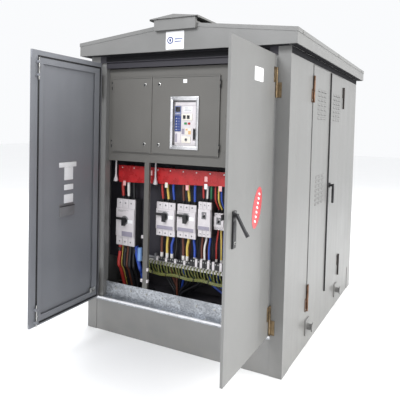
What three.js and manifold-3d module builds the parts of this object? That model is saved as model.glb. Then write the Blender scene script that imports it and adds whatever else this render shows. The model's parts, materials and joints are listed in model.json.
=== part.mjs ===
// Packaged (pad-mounted) transformer substation in a sheet-steel kiosk.
// Front (-Y): low-voltage switchboard behind two hinged leaves, which stand open.
// Middle: transformer bay with double doors on the right side (+X).
// Rear (+Y): medium-voltage switchgear behind two hinged leaves.
// Millimetres, +Z up, origin on the ground under the centre of the enclosure.
import * as THREE from 'three';
import * as BufferGeometryUtils from 'three/addons/utils/BufferGeometryUtils.js';
import Module from 'manifold-3d';

const wasm = await Module();
wasm.setup();

// ---------------------------------------------------------------- driving dimensions

const bodyWidth = 1680;
const bodyDepth = 2300;
const plinthHeight = 270;
const wallTop = 2225;
const eaveHeight = 2328;
const ridgeHeight = 2429;
const overhangFront = 74;
const overhangSide = 60;

const sheet = 3;
const restGap = 0.3;
const baseSteel = 6;
const baseFlange = 60;
const crossMemberWidth = 100;
const crossMemberHeight = 120;

const leafThickness = 16;
const leafRebateGap = 2;
const rebateDepth = leafThickness + leafRebateGap;
const postFace = 90;
const postSide = 150;
const stopWidth = 50;
const innerPlaneDepth = 60;
const postReturn = 20;
const headerStop = 45;

const leafSkin = 2;
const knuckleInset = 2;
const leafMeetingGap = 3;
const leafFloorGap = 6;
const leafTopHeight = 2170;
const leafTopGap = 4;
const hingePinOffset = 10;
const hingePinInset = 4;
const leafProud = 4;
const knuckleRadius = 8;
const leafEdgeGap = knuckleRadius - knuckleInset;
const pinRadius = 4.5;
const pinClearance = 0.5;
const knuckleLength = 100;
const leftLeafOpening = 88;
const rightLeafOpening = 91;

const sillUpstand = 120;
const sillLip = 20;
const sillThickness = 2;

const sideDoorFront = -600;
const sideDoorRear = 490;
const lowVoltageDepth = 510;
const mediumVoltageDepth = 640;

const halfWidth = bodyWidth / 2;
const halfDepth = bodyDepth / 2;
const frontY = -halfDepth;
const rearY = halfDepth;
const openingHalf = halfWidth - postFace;
const stopHalf = openingHalf - stopWidth;
const stopY = frontY + rebateDepth;
const innerY = frontY + innerPlaneDepth;
const leafBottomHeight = plinthHeight + leafFloorGap;
const openingTop = leafTopHeight + leafTopGap;
const roofPitch = (ridgeHeight - eaveHeight) / (halfWidth + overhangSide);
const pinX = openingHalf - hingePinInset;
const frontPinY = frontY - hingePinOffset;
const rearPinY = rearY + hingePinOffset;
const leafFace = hingePinOffset - leafProud;
const leafBack = leafFace + leafThickness;
const leafReach = pinX - leafMeetingGap / 2;

const boltRadius = 4;
const boltClearance = 2;
const boltFromFree = 46;
const boltBehindStop = 9;
const boltPlaneY = rebateDepth + sheet + boltBehindStop + hingePinOffset;
const boltX = leafReach - boltFromFree;
const boltHoleRadius = boltRadius + boltClearance;
const boltHoleX = boltX - pinX;
const boltHoleY = frontPinY + boltPlaneY;

// ---------------------------------------------------------------- materials

function material(color, roughness, metalness) {
  return new THREE.MeshStandardMaterial({ color, roughness, metalness });
}

const paint = material(0x9a9c98, 0.45, 0.1);
const darkPaint = material(0x6f706d, 0.5, 0.1);
const galvanised = material(0xa9adb0, 0.4, 0.8);
const brass = material(0xa8884a, 0.35, 0.9);
const blackPlastic = material(0x17181a, 0.45, 0);
const whitePlastic = material(0xe2e1dc, 0.4, 0);
const redPlastic = material(0xb4202a, 0.35, 0);
const greenPlastic = material(0x2c8a4b, 0.4, 0);
const floorSteel = material(0x3a3842, 0.6, 0.4);
const copper = material(0xb8703f, 0.35, 0.9);
const tankPaint = material(0x7f8684, 0.5, 0.1);
const switchgearPaint = material(0xc9ccc8, 0.45, 0.1);

// ---------------------------------------------------------------- geometry helpers

const root = new THREE.Group();

function span(low, high) {
  return low < high ? [low, high] : [high, low];
}

function box(xa, xb, ya, yb, za, zb) {
  const [x0, x1] = span(xa, xb);
  const [y0, y1] = span(ya, yb);
  const [z0, z1] = span(za, zb);
  const geometry = new THREE.BoxGeometry(x1 - x0, y1 - y0, z1 - z0);
  return geometry.translate((x0 + x1) / 2, (y0 + y1) / 2, (z0 + z1) / 2);
}

// A cylinder along one axis, from low to high, centred at the two other coordinates.
function rod(axis, radius, low, high, u, v, sides = 14) {
  const geometry = new THREE.CylinderGeometry(radius, radius, high - low, sides);
  const middle = (low + high) / 2;
  if (axis === 'x') {
    return geometry.rotateZ(Math.PI / 2).translate(middle, u, v);
  }
  if (axis === 'y') {
    return geometry.translate(u, middle, v);
  }
  return geometry.rotateX(Math.PI / 2).translate(u, v, middle);
}

// An outline in the XZ plane, extruded along Y from yLow to yHigh.
function prismAlongY(points, yLow, yHigh) {
  const shape = new THREE.Shape(points.map(([x, z]) => new THREE.Vector2(x, z)));
  const geometry = new THREE.ExtrudeGeometry(shape, { depth: yHigh - yLow, bevelEnabled: false });
  return geometry.rotateX(Math.PI / 2).translate(0, yHigh, 0);
}

function toSolid(geometry) {
  const bare = geometry.clone();
  bare.deleteAttribute('normal');
  bare.deleteAttribute('uv');
  const merged = BufferGeometryUtils.mergeVertices(bare, 1e-4);
  return new wasm.Manifold(new wasm.Mesh({
    numProp: 3,
    vertProperties: new Float32Array(merged.attributes.position.array),
    triVerts: new Uint32Array(merged.index.array),
  }));
}

function toGeometry(solid) {
  const mesh = solid.getMesh();
  const geometry = new THREE.BufferGeometry();
  geometry.setAttribute('position', new THREE.BufferAttribute(mesh.vertProperties, 3));
  geometry.setIndex(new THREE.BufferAttribute(mesh.triVerts, 1));
  geometry.computeVertexNormals();
  return geometry;
}

function join(geometries, cuts = []) {
  let solid = toSolid(geometries[0]);
  for (const geometry of geometries.slice(1)) {
    solid = solid.add(toSolid(geometry));
  }
  for (const cut of cuts) {
    solid = solid.subtract(toSolid(cut));
  }
  return toGeometry(solid);
}

function add(name, geometry, surface, parent = root) {
  const mesh = new THREE.Mesh(geometry, surface);
  mesh.name = name;
  parent.add(mesh);
  return mesh;
}

// ---------------------------------------------------------------- base

const baseOuterX = halfWidth - sheet - restGap;
const baseOuterY = halfDepth - sheet - restGap;
const lowVoltageBack = frontY + lowVoltageDepth;
const mediumVoltageBack = rearY - mediumVoltageDepth;
const transformerY = (lowVoltageBack + mediumVoltageBack) / 2;
const skidSpread = 300;
const crossMemberPlaces = [
  lowVoltageBack, transformerY - skidSpread, 0, transformerY + skidSpread, mediumVoltageBack,
];
const bollardRadius = 24;
const bollardReach = 46;
const bollardPlateHalf = 50;
const bollardPlateRise = 60;
const bollardFlange = 14;
const bollardFlangeThickness = 8;
const bollardHeight = 150;
const bollardPlaces = [-555, 438];

function baseFrame() {
  const inner = baseOuterX - baseSteel;
  const innerEnd = baseOuterY - baseSteel;
  const top = plinthHeight;
  const pieces = [box(-baseOuterX, baseOuterX, -baseOuterY, baseOuterY, 0, top)];
  const cuts = [
    box(-inner, inner, -innerEnd, innerEnd, baseSteel, top - baseSteel),
    box(
      baseFlange - baseOuterX, baseOuterX - baseFlange,
      baseFlange - baseOuterY, baseOuterY - baseFlange, -1, top + 1,
    ),
  ];
  const ring = join(pieces, cuts);
  const half = crossMemberWidth / 2;
  const members = crossMemberPlaces.flatMap((y) => [
    box(-inner - 1, inner + 1, y - half, y + half, 0, baseSteel),
    box(-inner - 1, inner + 1, y - half, y - half + baseSteel, 0, crossMemberHeight),
    box(-inner - 1, inner + 1, y + half - baseSteel, y + half, 0, crossMemberHeight),
  ]);
  const bollards = [];
  for (const side of [-1, 1]) {
    const face = side * (baseOuterX - 1);
    const plate = side * (halfWidth + baseSteel);
    const tip = side * (halfWidth + baseSteel + bollardReach);
    for (const y of bollardPlaces) {
      bollards.push(box(
        face, plate, y - bollardPlateHalf, y + bollardPlateHalf,
        bollardHeight - bollardPlateRise, bollardHeight + bollardPlateRise,
      ));
      bollards.push(rod('x', bollardRadius, ...span(face, tip), y, bollardHeight));
      const flange = span(tip - side * bollardFlangeThickness, tip);
      bollards.push(rod('x', bollardRadius + bollardFlange, ...flange, y, bollardHeight));
    }
  }
  const boltHole = rod('z', boltHoleRadius, top - baseSteel - 1, top + 1, boltHoleX, boltHoleY);
  return join([ring, ...members, ...bollards], [boltHole]);
}

add('base_frame', baseFrame(), paint);

const floorThickness = 3;
const floorHoleRadius = 55;
const panelFold = 22;
const floorHalf = halfWidth - sheet - panelFold - 4;
const floorBaySide = 120;
const floorBayEnd = 60;
const lowVoltageHoles = [-450, -150, 150, 450];
const lowVoltageHoleY = frontY + 330;
const mediumVoltageHoles = [-200, 0, 200];
const mediumVoltageHoleY = rearY - 230;

function floorPlate() {
  const edgeX = floorHalf;
  const edgeY = halfDepth - innerPlaneDepth - postReturn - 1;
  const low = plinthHeight + restGap;
  const high = low + floorThickness;
  const plate = box(-edgeX, edgeX, -edgeY, edgeY, low, high);
  const bay = box(
    -edgeX + floorBaySide, edgeX - floorBaySide,
    lowVoltageBack + floorBayEnd, mediumVoltageBack - floorBayEnd, low - 1, high + 1,
  );
  const ways = [];
  for (const x of lowVoltageHoles) {
    ways.push(rod('z', floorHoleRadius, low - 1, high + 1, x, lowVoltageHoleY, 16));
  }
  for (const x of mediumVoltageHoles) {
    ways.push(rod('z', floorHoleRadius, low - 1, high + 1, x, mediumVoltageHoleY, 16));
  }
  return join([plate], [bay, ...ways]);
}

add('floor_plate', floorPlate(), floorSteel);

// ---------------------------------------------------------------- corner posts and headers

// The post's plan: outer side strip, front strip, rebate wall, door stop and its return.
function post(side, end) {
  const outer = side * halfWidth;
  const face = end * halfDepth;
  const opening = side * openingHalf;
  const stop = side * stopHalf;
  const behind = end * (halfDepth - rebateDepth);
  const back = end * (halfDepth - innerPlaneDepth - postReturn);
  const thinX = side * sheet;
  const thinY = end * sheet;
  const top = wallTop - restGap;
  const low = plinthHeight + restGap;
  return join([
    box(outer, outer - thinX, face, end * (halfDepth - postSide), 0, top),
    box(outer, opening, face, face - thinY, 0, top),
    box(opening, opening + thinX, face, behind, low, top),
    box(opening + thinX, stop, behind, behind - thinY, low, top),
    box(stop, stop + thinX, behind, back, low, top),
  ]);
}

for (const [endName, end] of [['front', -1], ['rear', 1]]) {
  for (const [sideName, side] of [['left', -1], ['right', 1]]) {
    add(`${endName}_${sideName}_post`, post(side, end), paint);
  }
}

function header(end) {
  const half = openingHalf - restGap;
  const stopSpan = stopHalf - restGap;
  const face = end * halfDepth;
  const behind = end * (halfDepth - rebateDepth);
  const thin = end * sheet;
  const top = wallTop - restGap;
  return join([
    box(-half, half, face, face - thin, openingTop, top),
    box(-half, half, face, behind, openingTop, openingTop + sheet),
    box(-stopSpan, stopSpan, behind + thin, behind, openingTop - headerStop, openingTop + sheet),
  ]);
}

add('front_header', header(-1), paint);
add('rear_header', header(1), paint);

// Folded sill: a lip over the plinth's edge, a ledge under the leaves and an upstand behind them.
function sill() {
  const half = openingHalf - restGap;
  const upstandHalf = stopHalf - restGap;
  const low = plinthHeight + restGap;
  const ledgeTop = low + sillThickness;
  return join(
    [
      box(-half, half, frontY, frontY + sillThickness, plinthHeight - sillLip, ledgeTop),
      box(-half, half, frontY, stopY - sheet, low, ledgeTop),
      box(-upstandHalf, upstandHalf, stopY - sheet - 1, innerY + sheet, low, ledgeTop),
      box(-upstandHalf, upstandHalf, innerY, innerY + sheet, low, plinthHeight + sillUpstand),
    ],
    [rod('z', boltHoleRadius, low - 1, ledgeTop + 1, boltHoleX, boltHoleY)],
  );
}

add('front_sill', sill(), galvanised);

// ---------------------------------------------------------------- side walls and partitions

const sidePanelFront = frontY + postSide + restGap;
const sidePanelRear = rearY - postSide - restGap;
const sideDoorwayLow = plinthHeight + 2;
const wallLow = plinthHeight + restGap;
const panelTop = wallTop - restGap;
const wallSkirt = 40;
const jambFold = 25;

function rightSideWall() {
  const outer = halfWidth;
  const inner = halfWidth - sheet;
  const wall = box(outer, inner, sidePanelFront, sidePanelRear, wallLow - wallSkirt, panelTop);
  const doorway = box(
    outer + 1, inner - 1, sideDoorFront, sideDoorRear, sideDoorwayLow, openingTop,
  );
  const jambs = [];
  for (const [y, inward] of [[sideDoorFront, -1], [sideDoorRear, 1]]) {
    jambs.push(box(inner + 1, outer - rebateDepth, y, y + inward * sheet, sideDoorwayLow, openingTop));
    jambs.push(box(
      outer - rebateDepth, outer - rebateDepth - sheet, y - inward * jambFold, y + inward * sheet,
      sideDoorwayLow, openingTop,
    ));
  }
  const lintel = box(
    inner + 1, outer - rebateDepth - sheet, sideDoorFront - sheet, sideDoorRear + sheet,
    openingTop, openingTop + sheet,
  );
  return join([join([wall], [doorway]), ...jambs, lintel]);
}

add('right_side_wall', rightSideWall(), paint);

const louvreWidth = 76;
const louvreHeight = 9;
const louvrePitchAcross = 98;
const louvrePitchUp = 36;
const louvreColumns = 3;
const louvreRows = 7;

// A field of slots through a sheet that faces X, centred at y and z.
function louvreField(x, y, z) {
  const slots = [];
  for (let column = 0; column < louvreColumns; column += 1) {
    const across = y + (column - (louvreColumns - 1) / 2) * louvrePitchAcross;
    for (let row = 0; row < louvreRows; row += 1) {
      const up = z + (row - (louvreRows - 1) / 2) * louvrePitchUp;
      slots.push(box(
        x - 10, x + 10, across - louvreWidth / 2, across + louvreWidth / 2,
        up - louvreHeight / 2, up + louvreHeight / 2,
      ));
    }
  }
  return slots;
}

const upperLouvreHeight = 1880;
const lowerLouvreHeight = 1195;

function leftPanel(yLow, yHigh, slots = []) {
  const outer = -halfWidth;
  const inner = -halfWidth + sheet;
  const fold = panelFold;
  return join([
    box(outer, inner, yLow, yHigh, wallLow - wallSkirt, panelTop),
    box(inner - 1, inner + fold, yLow, yLow + sheet, wallLow, panelTop),
    box(inner - 1, inner + fold, yHigh - sheet, yHigh, wallLow, panelTop),
  ], slots);
}

const leftSplitFront = sideDoorFront;
const leftSplitRear = sideDoorRear;
const leftBayMiddle = (leftSplitFront + leftSplitRear) / 2;
const leftLouvreSpread = 270;
const leftLouvres = [-1, 1].flatMap((half) => [
  ...louvreField(-halfWidth, leftBayMiddle + half * leftLouvreSpread, upperLouvreHeight),
  ...louvreField(-halfWidth, leftBayMiddle + half * leftLouvreSpread, lowerLouvreHeight),
]);

add('left_front_panel', leftPanel(sidePanelFront, leftSplitFront - restGap), paint);
add('left_louvre_panel', leftPanel(leftSplitFront, leftSplitRear, leftLouvres), paint);
add('left_rear_panel', leftPanel(leftSplitRear + restGap, sidePanelRear), paint);

const partitionFold = 25;

function partition(y) {
  const edge = halfWidth - sheet - restGap;
  const low = plinthHeight + restGap + floorThickness + restGap;
  const plate = box(-edge, edge, y, y + sheet, low, panelTop);
  const fold = box(-edge, edge, y, y + partitionFold, panelTop - sheet, panelTop);
  const foot = box(-edge, edge, y, y + partitionFold, low, low + sheet);
  return join([plate, fold, foot]);
}

add('lv_partition', partition(lowVoltageBack), floorSteel);
add('mv_partition', partition(mediumVoltageBack), galvanised);

// ---------------------------------------------------------------- roof

const dripDepth = 25;
const soffitInner = 20;

function roofHeight(x) {
  return ridgeHeight - sheet - Math.abs(x) * roofPitch;
}

function roofFascia() {
  const outerX = halfWidth + overhangSide;
  const outerY = halfDepth + overhangFront;
  const innerX = halfWidth - soffitInner;
  const innerEnd = halfDepth - soffitInner;
  const eave = roofHeight(outerX);
  const gable = [
    [-outerX, wallTop], [outerX, wallTop], [outerX, eave], [0, roofHeight(0)], [-outerX, eave],
  ];
  const soffit = join(
    [box(-outerX, outerX, -outerY, outerY, wallTop, wallTop + sheet)],
    [box(-innerX, innerX, -innerEnd, innerEnd, wallTop - 1, wallTop + sheet + 1)],
  );
  return join([
    soffit,
    prismAlongY(gable, -outerY, -outerY + sheet),
    prismAlongY(gable, outerY - sheet, outerY),
    box(-outerX, -outerX + sheet, -outerY, outerY, wallTop, eave),
    box(outerX - sheet, outerX, -outerY, outerY, wallTop, eave),
  ]);
}

function roofCover() {
  const edgeX = halfWidth + overhangSide + restGap;
  const edgeY = halfDepth + overhangFront + restGap;
  const under = (x) => roofHeight(x) + restGap;
  const outerX = edgeX + sheet;
  const section = [
    [-outerX, under(outerX) - dripDepth], [-edgeX, under(edgeX) - dripDepth], [-edgeX, under(edgeX)],
    [0, under(0)], [edgeX, under(edgeX)], [edgeX, under(edgeX) - dripDepth],
    [outerX, under(outerX) - dripDepth], [outerX, under(outerX) + sheet], [0, under(0) + sheet],
    [-outerX, under(outerX) + sheet],
  ];
  const band = [
    [-outerX, under(outerX) - dripDepth], [0, under(0) - dripDepth],
    [outerX, under(outerX) - dripDepth], [outerX, under(outerX) + sheet], [0, under(0) + sheet],
    [-outerX, under(outerX) + sheet],
  ];
  return join([
    prismAlongY(section, -edgeY - sheet, edgeY + sheet),
    prismAlongY(band, -edgeY - sheet, -edgeY),
    prismAlongY(band, edgeY, edgeY + sheet),
  ]);
}

add('roof_fascia', roofFascia(), paint);
add('roof_cover', roofCover(), paint);

const ventHalf = 171;
const ventNose = 30;
const ventFaceDrop = 40;
const ventWallHeight = 14;
const ventGap = 26;
const ventCapHalf = 202;
const ventCapRise = 24;
const ventCapLip = 10;
const ventCapOverhang = 14;
const ventRibPlaces = [-800, -400, 0, 400, 800];

const ventEnd = halfDepth + overhangFront + ventNose;
const roofTop = (x) => roofHeight(x) + restGap + sheet + restGap;
const ventWallTop = roofTop(ventHalf) + ventWallHeight;
const ventTop = ventWallTop + ventGap;

function ridgeVentBase() {
  const noseLow = roofTop(ventHalf) - ventFaceDrop;
  const noseStart = halfDepth + overhangFront + restGap + sheet + restGap;
  const pieces = [];
  for (const side of [-1, 1]) {
    const outer = side * ventHalf;
    const inner = side * (ventHalf - sheet);
    pieces.push(box(outer, inner, -ventEnd, ventEnd, roofTop(ventHalf - sheet), ventWallTop));
    for (const end of [-1, 1]) {
      pieces.push(box(outer, inner, end * noseStart, end * ventEnd, noseLow, ventTop));
    }
  }
  for (const end of [-1, 1]) {
    pieces.push(box(-ventHalf, ventHalf, end * (ventEnd - sheet), end * ventEnd, noseLow, ventTop));
  }
  for (const y of ventRibPlaces) {
    const rib = [
      [-ventHalf, roofTop(ventHalf)], [0, roofTop(0)], [ventHalf, roofTop(ventHalf)],
      [ventHalf, ventTop], [-ventHalf, ventTop],
    ];
    pieces.push(prismAlongY(rib, y - sheet, y + sheet));
  }
  return join(pieces);
}

function ridgeVentCap() {
  const low = ventTop + restGap;
  const end = ventEnd + ventCapOverhang;
  const inner = ventCapHalf - sheet;
  const section = [
    [-ventCapHalf, low - ventCapLip], [-inner, low - ventCapLip], [-inner, low],
    [inner, low], [inner, low - ventCapLip], [ventCapHalf, low - ventCapLip],
    [ventCapHalf, low + sheet], [0, low + sheet + ventCapRise], [-ventCapHalf, low + sheet],
  ];
  return prismAlongY(section, -end, end);
}

add('ridge_vent_base', ridgeVentBase(), paint);
add('ridge_vent_cap', ridgeVentCap(), paint);

// ---------------------------------------------------------------- hinged leaves

// A leaf's own frame: the hinge pin is the Z axis, the leaf runs along side * X when it is
// closed, and Y points into the enclosure.
function leafGroup(pinX, pinY, facing, side, opening) {
  const group = new THREE.Group();
  group.position.set(pinX, pinY, 0);
  group.rotation.z = THREE.MathUtils.degToRad(facing - side * opening);
  root.add(group);
  return group;
}

// A folded tray: skin, returns and inner lips around an open pan.
function leafTray(leaf) {
  const { side, start, reach, face, thickness, skin, bottom, top, lips } = leaf;
  const near = side * start;
  const far = side * reach;
  const back = face + thickness;
  const block = box(near, far, face, back, bottom, top);
  const hollow = box(
    near + side * skin, far - side * skin, face + skin, back - skin, bottom + skin, top - skin,
  );
  const window = box(
    near + side * lips.hinge, far - side * lips.free, back - skin - 1, back + 1,
    bottom + lips.bottom, top - lips.top,
  );
  return { block, cuts: [hollow, window] };
}

// The leaf's half of a lift-off hinge: a bored knuckle and its strap, standing on the fixed half.
function leafKnuckle(leaf, low, length, radius, pin) {
  const { side, start, face } = leaf;
  const strapReach = start + 4 * radius;
  return {
    solids: [
      rod('z', radius, low, low + length, 0, 0),
      box(0, side * strapReach, face - radius / 2, face + leafSkin / 2, low, low + length),
    ],
    bore: rod('z', pin + pinClearance, low - 1, low + length + 1, 0, 0),
  };
}

function leafSolid(leaf, extras = [], extraCuts = []) {
  const tray = leafTray(leaf);
  const knuckles = leaf.knuckles.map(
    (low) => leafKnuckle(leaf, low, leaf.knuckleLength, leaf.knuckleRadius, leaf.pinRadius),
  );
  return join(
    [join([tray.block], tray.cuts), ...knuckles.flatMap((knuckle) => knuckle.solids), ...extras],
    [...knuckles.map((knuckle) => knuckle.bore), ...extraCuts],
  );
}

const lowerHingeHeight = 385;
const upperHingeHeight = 1985;
const hingePlateReach = 34;
const doorLips = { hinge: 86, free: 104, bottom: 66, top: 88 };

function mainLeaf(side, reach) {
  return {
    side,
    start: leafEdgeGap,
    reach,
    face: leafFace,
    thickness: leafThickness,
    skin: leafSkin,
    bottom: leafBottomHeight,
    top: leafTopHeight,
    lips: doorLips,
    knuckles: [lowerHingeHeight + restGap, upperHingeHeight + restGap],
    knuckleLength,
    knuckleRadius,
    pinRadius,
  };
}

// The fixed half of a front hinge: knuckle, pin and the plate screwed to the corner post.
function fixedHinge(side, top) {
  const x = side * pinX;
  const low = top - knuckleLength;
  const plateFace = frontY - restGap;
  return join([
    rod('z', knuckleRadius, low, top, x, frontPinY),
    rod('z', pinRadius, top - 1, top + knuckleLength - 6, x, frontPinY),
    box(x, side * (pinX + hingePlateReach), plateFace - 4, plateFace, low, top),
  ]);
}

for (const [sideName, side] of [['left', -1], ['right', 1]]) {
  add(`front_${sideName}_lower_hinge`, fixedHinge(side, lowerHingeHeight), brass);
  add(`front_${sideName}_upper_hinge`, fixedHinge(side, upperHingeHeight), brass);
}

// Front left leaf: the one that closes first, with an overlap strip and two slide bolts.
const boltGuideHalf = 11;
const boltLength = 150;
const boltGripReach = 8;
const boltGripRadius = 5;
const boltGripAlong = 74;
const stripInset = 24;
const stripReach = 16;
const stripThickness = 2;
const upperBoltTop = openingTop - headerStop - 8;
const lowerBoltBottom = leafBottomHeight + 4;

function boltGuides(side, heights) {
  const solids = heights.map((z) => box(
    side * (boltX - boltGuideHalf), side * (boltX + boltGuideHalf),
    leafBack - 1, boltPlaneY + boltGuideHalf - 2, z - 8, z + 8,
  ));
  const bores = heights.map(
    (z) => rod('z', boltRadius + pinClearance, z - 9, z + 9, side * boltX, boltPlaneY),
  );
  return { solids, bores };
}

const upperGuideHeights = [upperBoltTop - 30, upperBoltTop - 118];
const lowerGuideHeights = [lowerBoltBottom + 30, lowerBoltBottom + 118];

function slideBolt(low, gripHeight) {
  return join([
    rod('z', boltRadius, low, low + boltLength, boltX, boltPlaneY),
    rod('y', boltGripRadius, boltPlaneY + 1, boltPlaneY + boltGripReach, boltX, gripHeight),
  ]);
}

const frontLeft = mainLeaf(1, leafReach);
const frontLeftGroup = leafGroup(-pinX, frontPinY, 0, 1, leftLeafOpening);
const guides = boltGuides(1, [...upperGuideHeights, ...lowerGuideHeights]);
const stripLow = leafBottomHeight + 30;
const stripHigh = leafTopHeight - headerStop - 10;
const stripFace = leafBack + restGap;
const stripBack = stripFace + stripThickness;
const overlapStrip = [
  box(leafReach - stripInset, leafReach, leafBack - 1, stripBack, stripLow, stripHigh),
  box(leafReach - 1, leafReach + stripReach, stripFace, stripBack, stripLow, stripHigh),
];
const frontLeftLeaf = leafSolid(frontLeft, [...overlapStrip, ...guides.solids], guides.bores);
add('front_left_leaf', frontLeftLeaf, paint, frontLeftGroup);
const upperBolt = slideBolt(upperBoltTop - boltLength, upperBoltTop - boltGripAlong);
const lowerBolt = slideBolt(lowerBoltBottom, lowerBoltBottom + boltGripAlong);
add('upper_slide_bolt', upperBolt, galvanised, frontLeftGroup);
add('lower_slide_bolt', lowerBolt, galvanised, frontLeftGroup);

// Front right leaf, with the swing handle.
const spindleRadius = 9;
const handleFromFree = 92;
const handleX = -(leafReach - handleFromFree);
const spindleHeight = 1200;
const handlePlateHalf = 22;
const handlePlateTop = 1224;
const handlePlateBottom = 1018;
const handlePlateThickness = 8;
const leverLength = 128;
const leverHalfWidth = 10;
const leverHalfDepth = 6;
const leverLift = 30;
const leverPinRadius = 3;
const leverTipLength = 26;
const leverTipDepth = 3;
const leverHeel = 7;

const frontRight = mainLeaf(-1, leafReach);
const frontRightGroup = leafGroup(pinX, frontPinY, 0, -1, rightLeafOpening);
const spindleBore = (z) => rod('y', spindleRadius + pinClearance, -20, 60, handleX, z);
const frontRightLeaf = leafSolid(frontRight, [], [spindleBore(spindleHeight)]);
add('front_right_leaf', frontRightLeaf, paint, frontRightGroup);

const plateFront = leafFace - restGap - handlePlateThickness;
const handlePlate = join(
  [box(
    handleX - handlePlateHalf, handleX + handlePlateHalf, plateFront, leafFace - restGap,
    handlePlateBottom, handlePlateTop,
  )],
  [spindleBore(spindleHeight)],
);
add('handle_plate', handlePlate, blackPlastic, frontRightGroup);

const spindleDisc = plateFront - restGap - 3;
const leverPinY = spindleDisc - 10;
const cheekOuter = leverHalfWidth + 5;
const camReach = handleFromFree + 20;
const camHalf = 15;
const camThickness = 5;

// Spindle with a fork for the lever outside and the latch cam inside.
function latchSpindle() {
  const cheeks = [-1, 1].map((s) => box(
    handleX + s * (leverHalfWidth + 0.5), handleX + s * cheekOuter,
    leverPinY - 5, spindleDisc + 0.5, spindleHeight - 8, spindleHeight + 8,
  ));
  return join(
    [
      rod('y', spindleRadius, spindleDisc + 1, leafBack + 14, handleX, spindleHeight),
      rod('y', 17, spindleDisc, plateFront - restGap, handleX, spindleHeight, 20),
      box(
        handleX - camReach, handleX + 16, leafBack + 5, leafBack + 5 + camThickness,
        spindleHeight - camHalf, spindleHeight + camHalf,
      ),
      ...cheeks,
    ],
    [rod('x', leverPinRadius + 0.3, handleX - 30, handleX + 30, leverPinY, spindleHeight)],
  );
}

add('latch_spindle', latchSpindle(), blackPlastic, frontRightGroup);

const leverGroup = new THREE.Group();
leverGroup.position.set(handleX, leverPinY, spindleHeight);
leverGroup.rotation.x = THREE.MathUtils.degToRad(-leverLift);
frontRightGroup.add(leverGroup);

function swingLever() {
  return join([
    rod('x', leverPinRadius, -cheekOuter + 0.5, cheekOuter - 0.5, 0, 0),
    box(-leverHalfWidth, leverHalfWidth, -leverHalfDepth, leverHalfDepth, -leverLength, leverHeel),
    box(
      -leverHalfWidth, leverHalfWidth, -leverHalfDepth - leverTipDepth, leverHalfDepth,
      -leverLength, -leverLength + leverTipLength,
    ),
  ]);
}

add('swing_lever', swingLever(), blackPlastic, leverGroup);

const sideHandleFromFree = 70;
const turningCamReach = sideHandleFromFree + 16;
const turningShaft = 8;
const turningRose = 22;
const turningRoseDepth = 12;
const turningNeck = 11;
const turningNeckReach = 34;
const turningGripLength = 150;
const turningCamHalf = 14;
const turningCamThickness = 5;

// A plain turning handle: rose, spindle, a lever that hangs down and a latch cam, shown free of
// the other leaf; a quarter turn carries the cam behind that leaf's lip.
function turningHandle(x) {
  const rose = leafFace - restGap;
  const roseFront = rose - turningRoseDepth;
  const neck = rose - turningNeckReach;
  const cam = leafBack + 4;
  return join([
    rod('y', turningShaft, roseFront, leafBack + 12, x, spindleHeight),
    rod('y', turningRose, roseFront, rose, x, spindleHeight, 20),
    rod('y', turningNeck, neck, roseFront + 1, x, spindleHeight),
    box(
      x - turningNeck, x + turningNeck, neck - 10, neck + 2,
      spindleHeight - turningGripLength, spindleHeight + 12,
    ),
    box(
      x - turningCamHalf, x + turningCamHalf, cam, cam + turningCamThickness,
      spindleHeight - turningCamHalf, spindleHeight + turningCamReach,
    ),
  ]);
}

const handleBore = (x) => rod('y', turningShaft + pinClearance, -20, 60, x, spindleHeight);

// Double doors of the transformer bay, in the right side.
const sidePinFront = sideDoorFront + hingePinInset;
const sidePinRear = sideDoorRear - hingePinInset;
const sideReach = (sidePinRear - sidePinFront - leafMeetingGap) / 2;
const sideVentX = sideReach / 2 + 4;

function leafLouvres(side, heights) {
  const fields = heights.flatMap((z) => louvreField(0, 0, z));
  return fields.map((slot) => slot.rotateZ(Math.PI / 2).translate(side * sideVentX, leafFace, 0));
}

const sidePinX = halfWidth + hingePinOffset;
const sideFrontGroup = leafGroup(sidePinX, sidePinFront, 90, 1, 0);
const sideRearGroup = leafGroup(sidePinX, sidePinRear, 90, -1, 0);
add(
  'side_front_leaf',
  leafSolid(mainLeaf(1, sideReach), [], leafLouvres(1, [upperLouvreHeight, lowerLouvreHeight])),
  paint, sideFrontGroup,
);
const sideHandleX = -(sideReach - sideHandleFromFree);
add(
  'side_rear_leaf',
  leafSolid(
    mainLeaf(-1, sideReach), [],
    [...leafLouvres(-1, [upperLouvreHeight]), handleBore(sideHandleX)],
  ),
  paint, sideRearGroup,
);
add('side_handle', turningHandle(sideHandleX), blackPlastic, sideRearGroup);

// Double doors of the medium-voltage bay, at the rear.
const rearFirstGroup = leafGroup(pinX, rearPinY, 180, 1, 0);
const rearSecondGroup = leafGroup(-pinX, rearPinY, 180, -1, 0);
const rearHandleX = -(leafReach - sideHandleFromFree);
add('rear_right_leaf', leafSolid(mainLeaf(1, leafReach)), paint, rearFirstGroup);
const rearSecondLeaf = leafSolid(mainLeaf(-1, leafReach), [], [handleBore(rearHandleX)]);
add('rear_left_leaf', rearSecondLeaf, paint, rearSecondGroup);
add('rear_handle', turningHandle(rearHandleX), blackPlastic, rearSecondGroup);

// ---------------------------------------------------------------- switchboard front

const beamLow = 1391;
const beamHigh = 1457;
const coverLow = 1462;
const coverHigh = 2056;
const frameHigh = openingTop - headerStop - restGap;
const frameDepth = 24;
const mullionLeft = -343;
const mullionWidth = 44;
const meterDoorLeft = -664;
const meterDoorRight = -279;
const acbDoorLeft = -275;
const acbDoorRight = 307;
const stileOverlap = 16;
const smallLeafThickness = 12;
const cutoutLeft = -82;
const cutoutRight = 116;
const cutoutLow = 1537;
const cutoutHigh = 1873;
const acbMargin = 14;
const acbFace = innerY + 3;
const acbDepth = 290;
const acbBack = acbFace + acbDepth;

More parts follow.
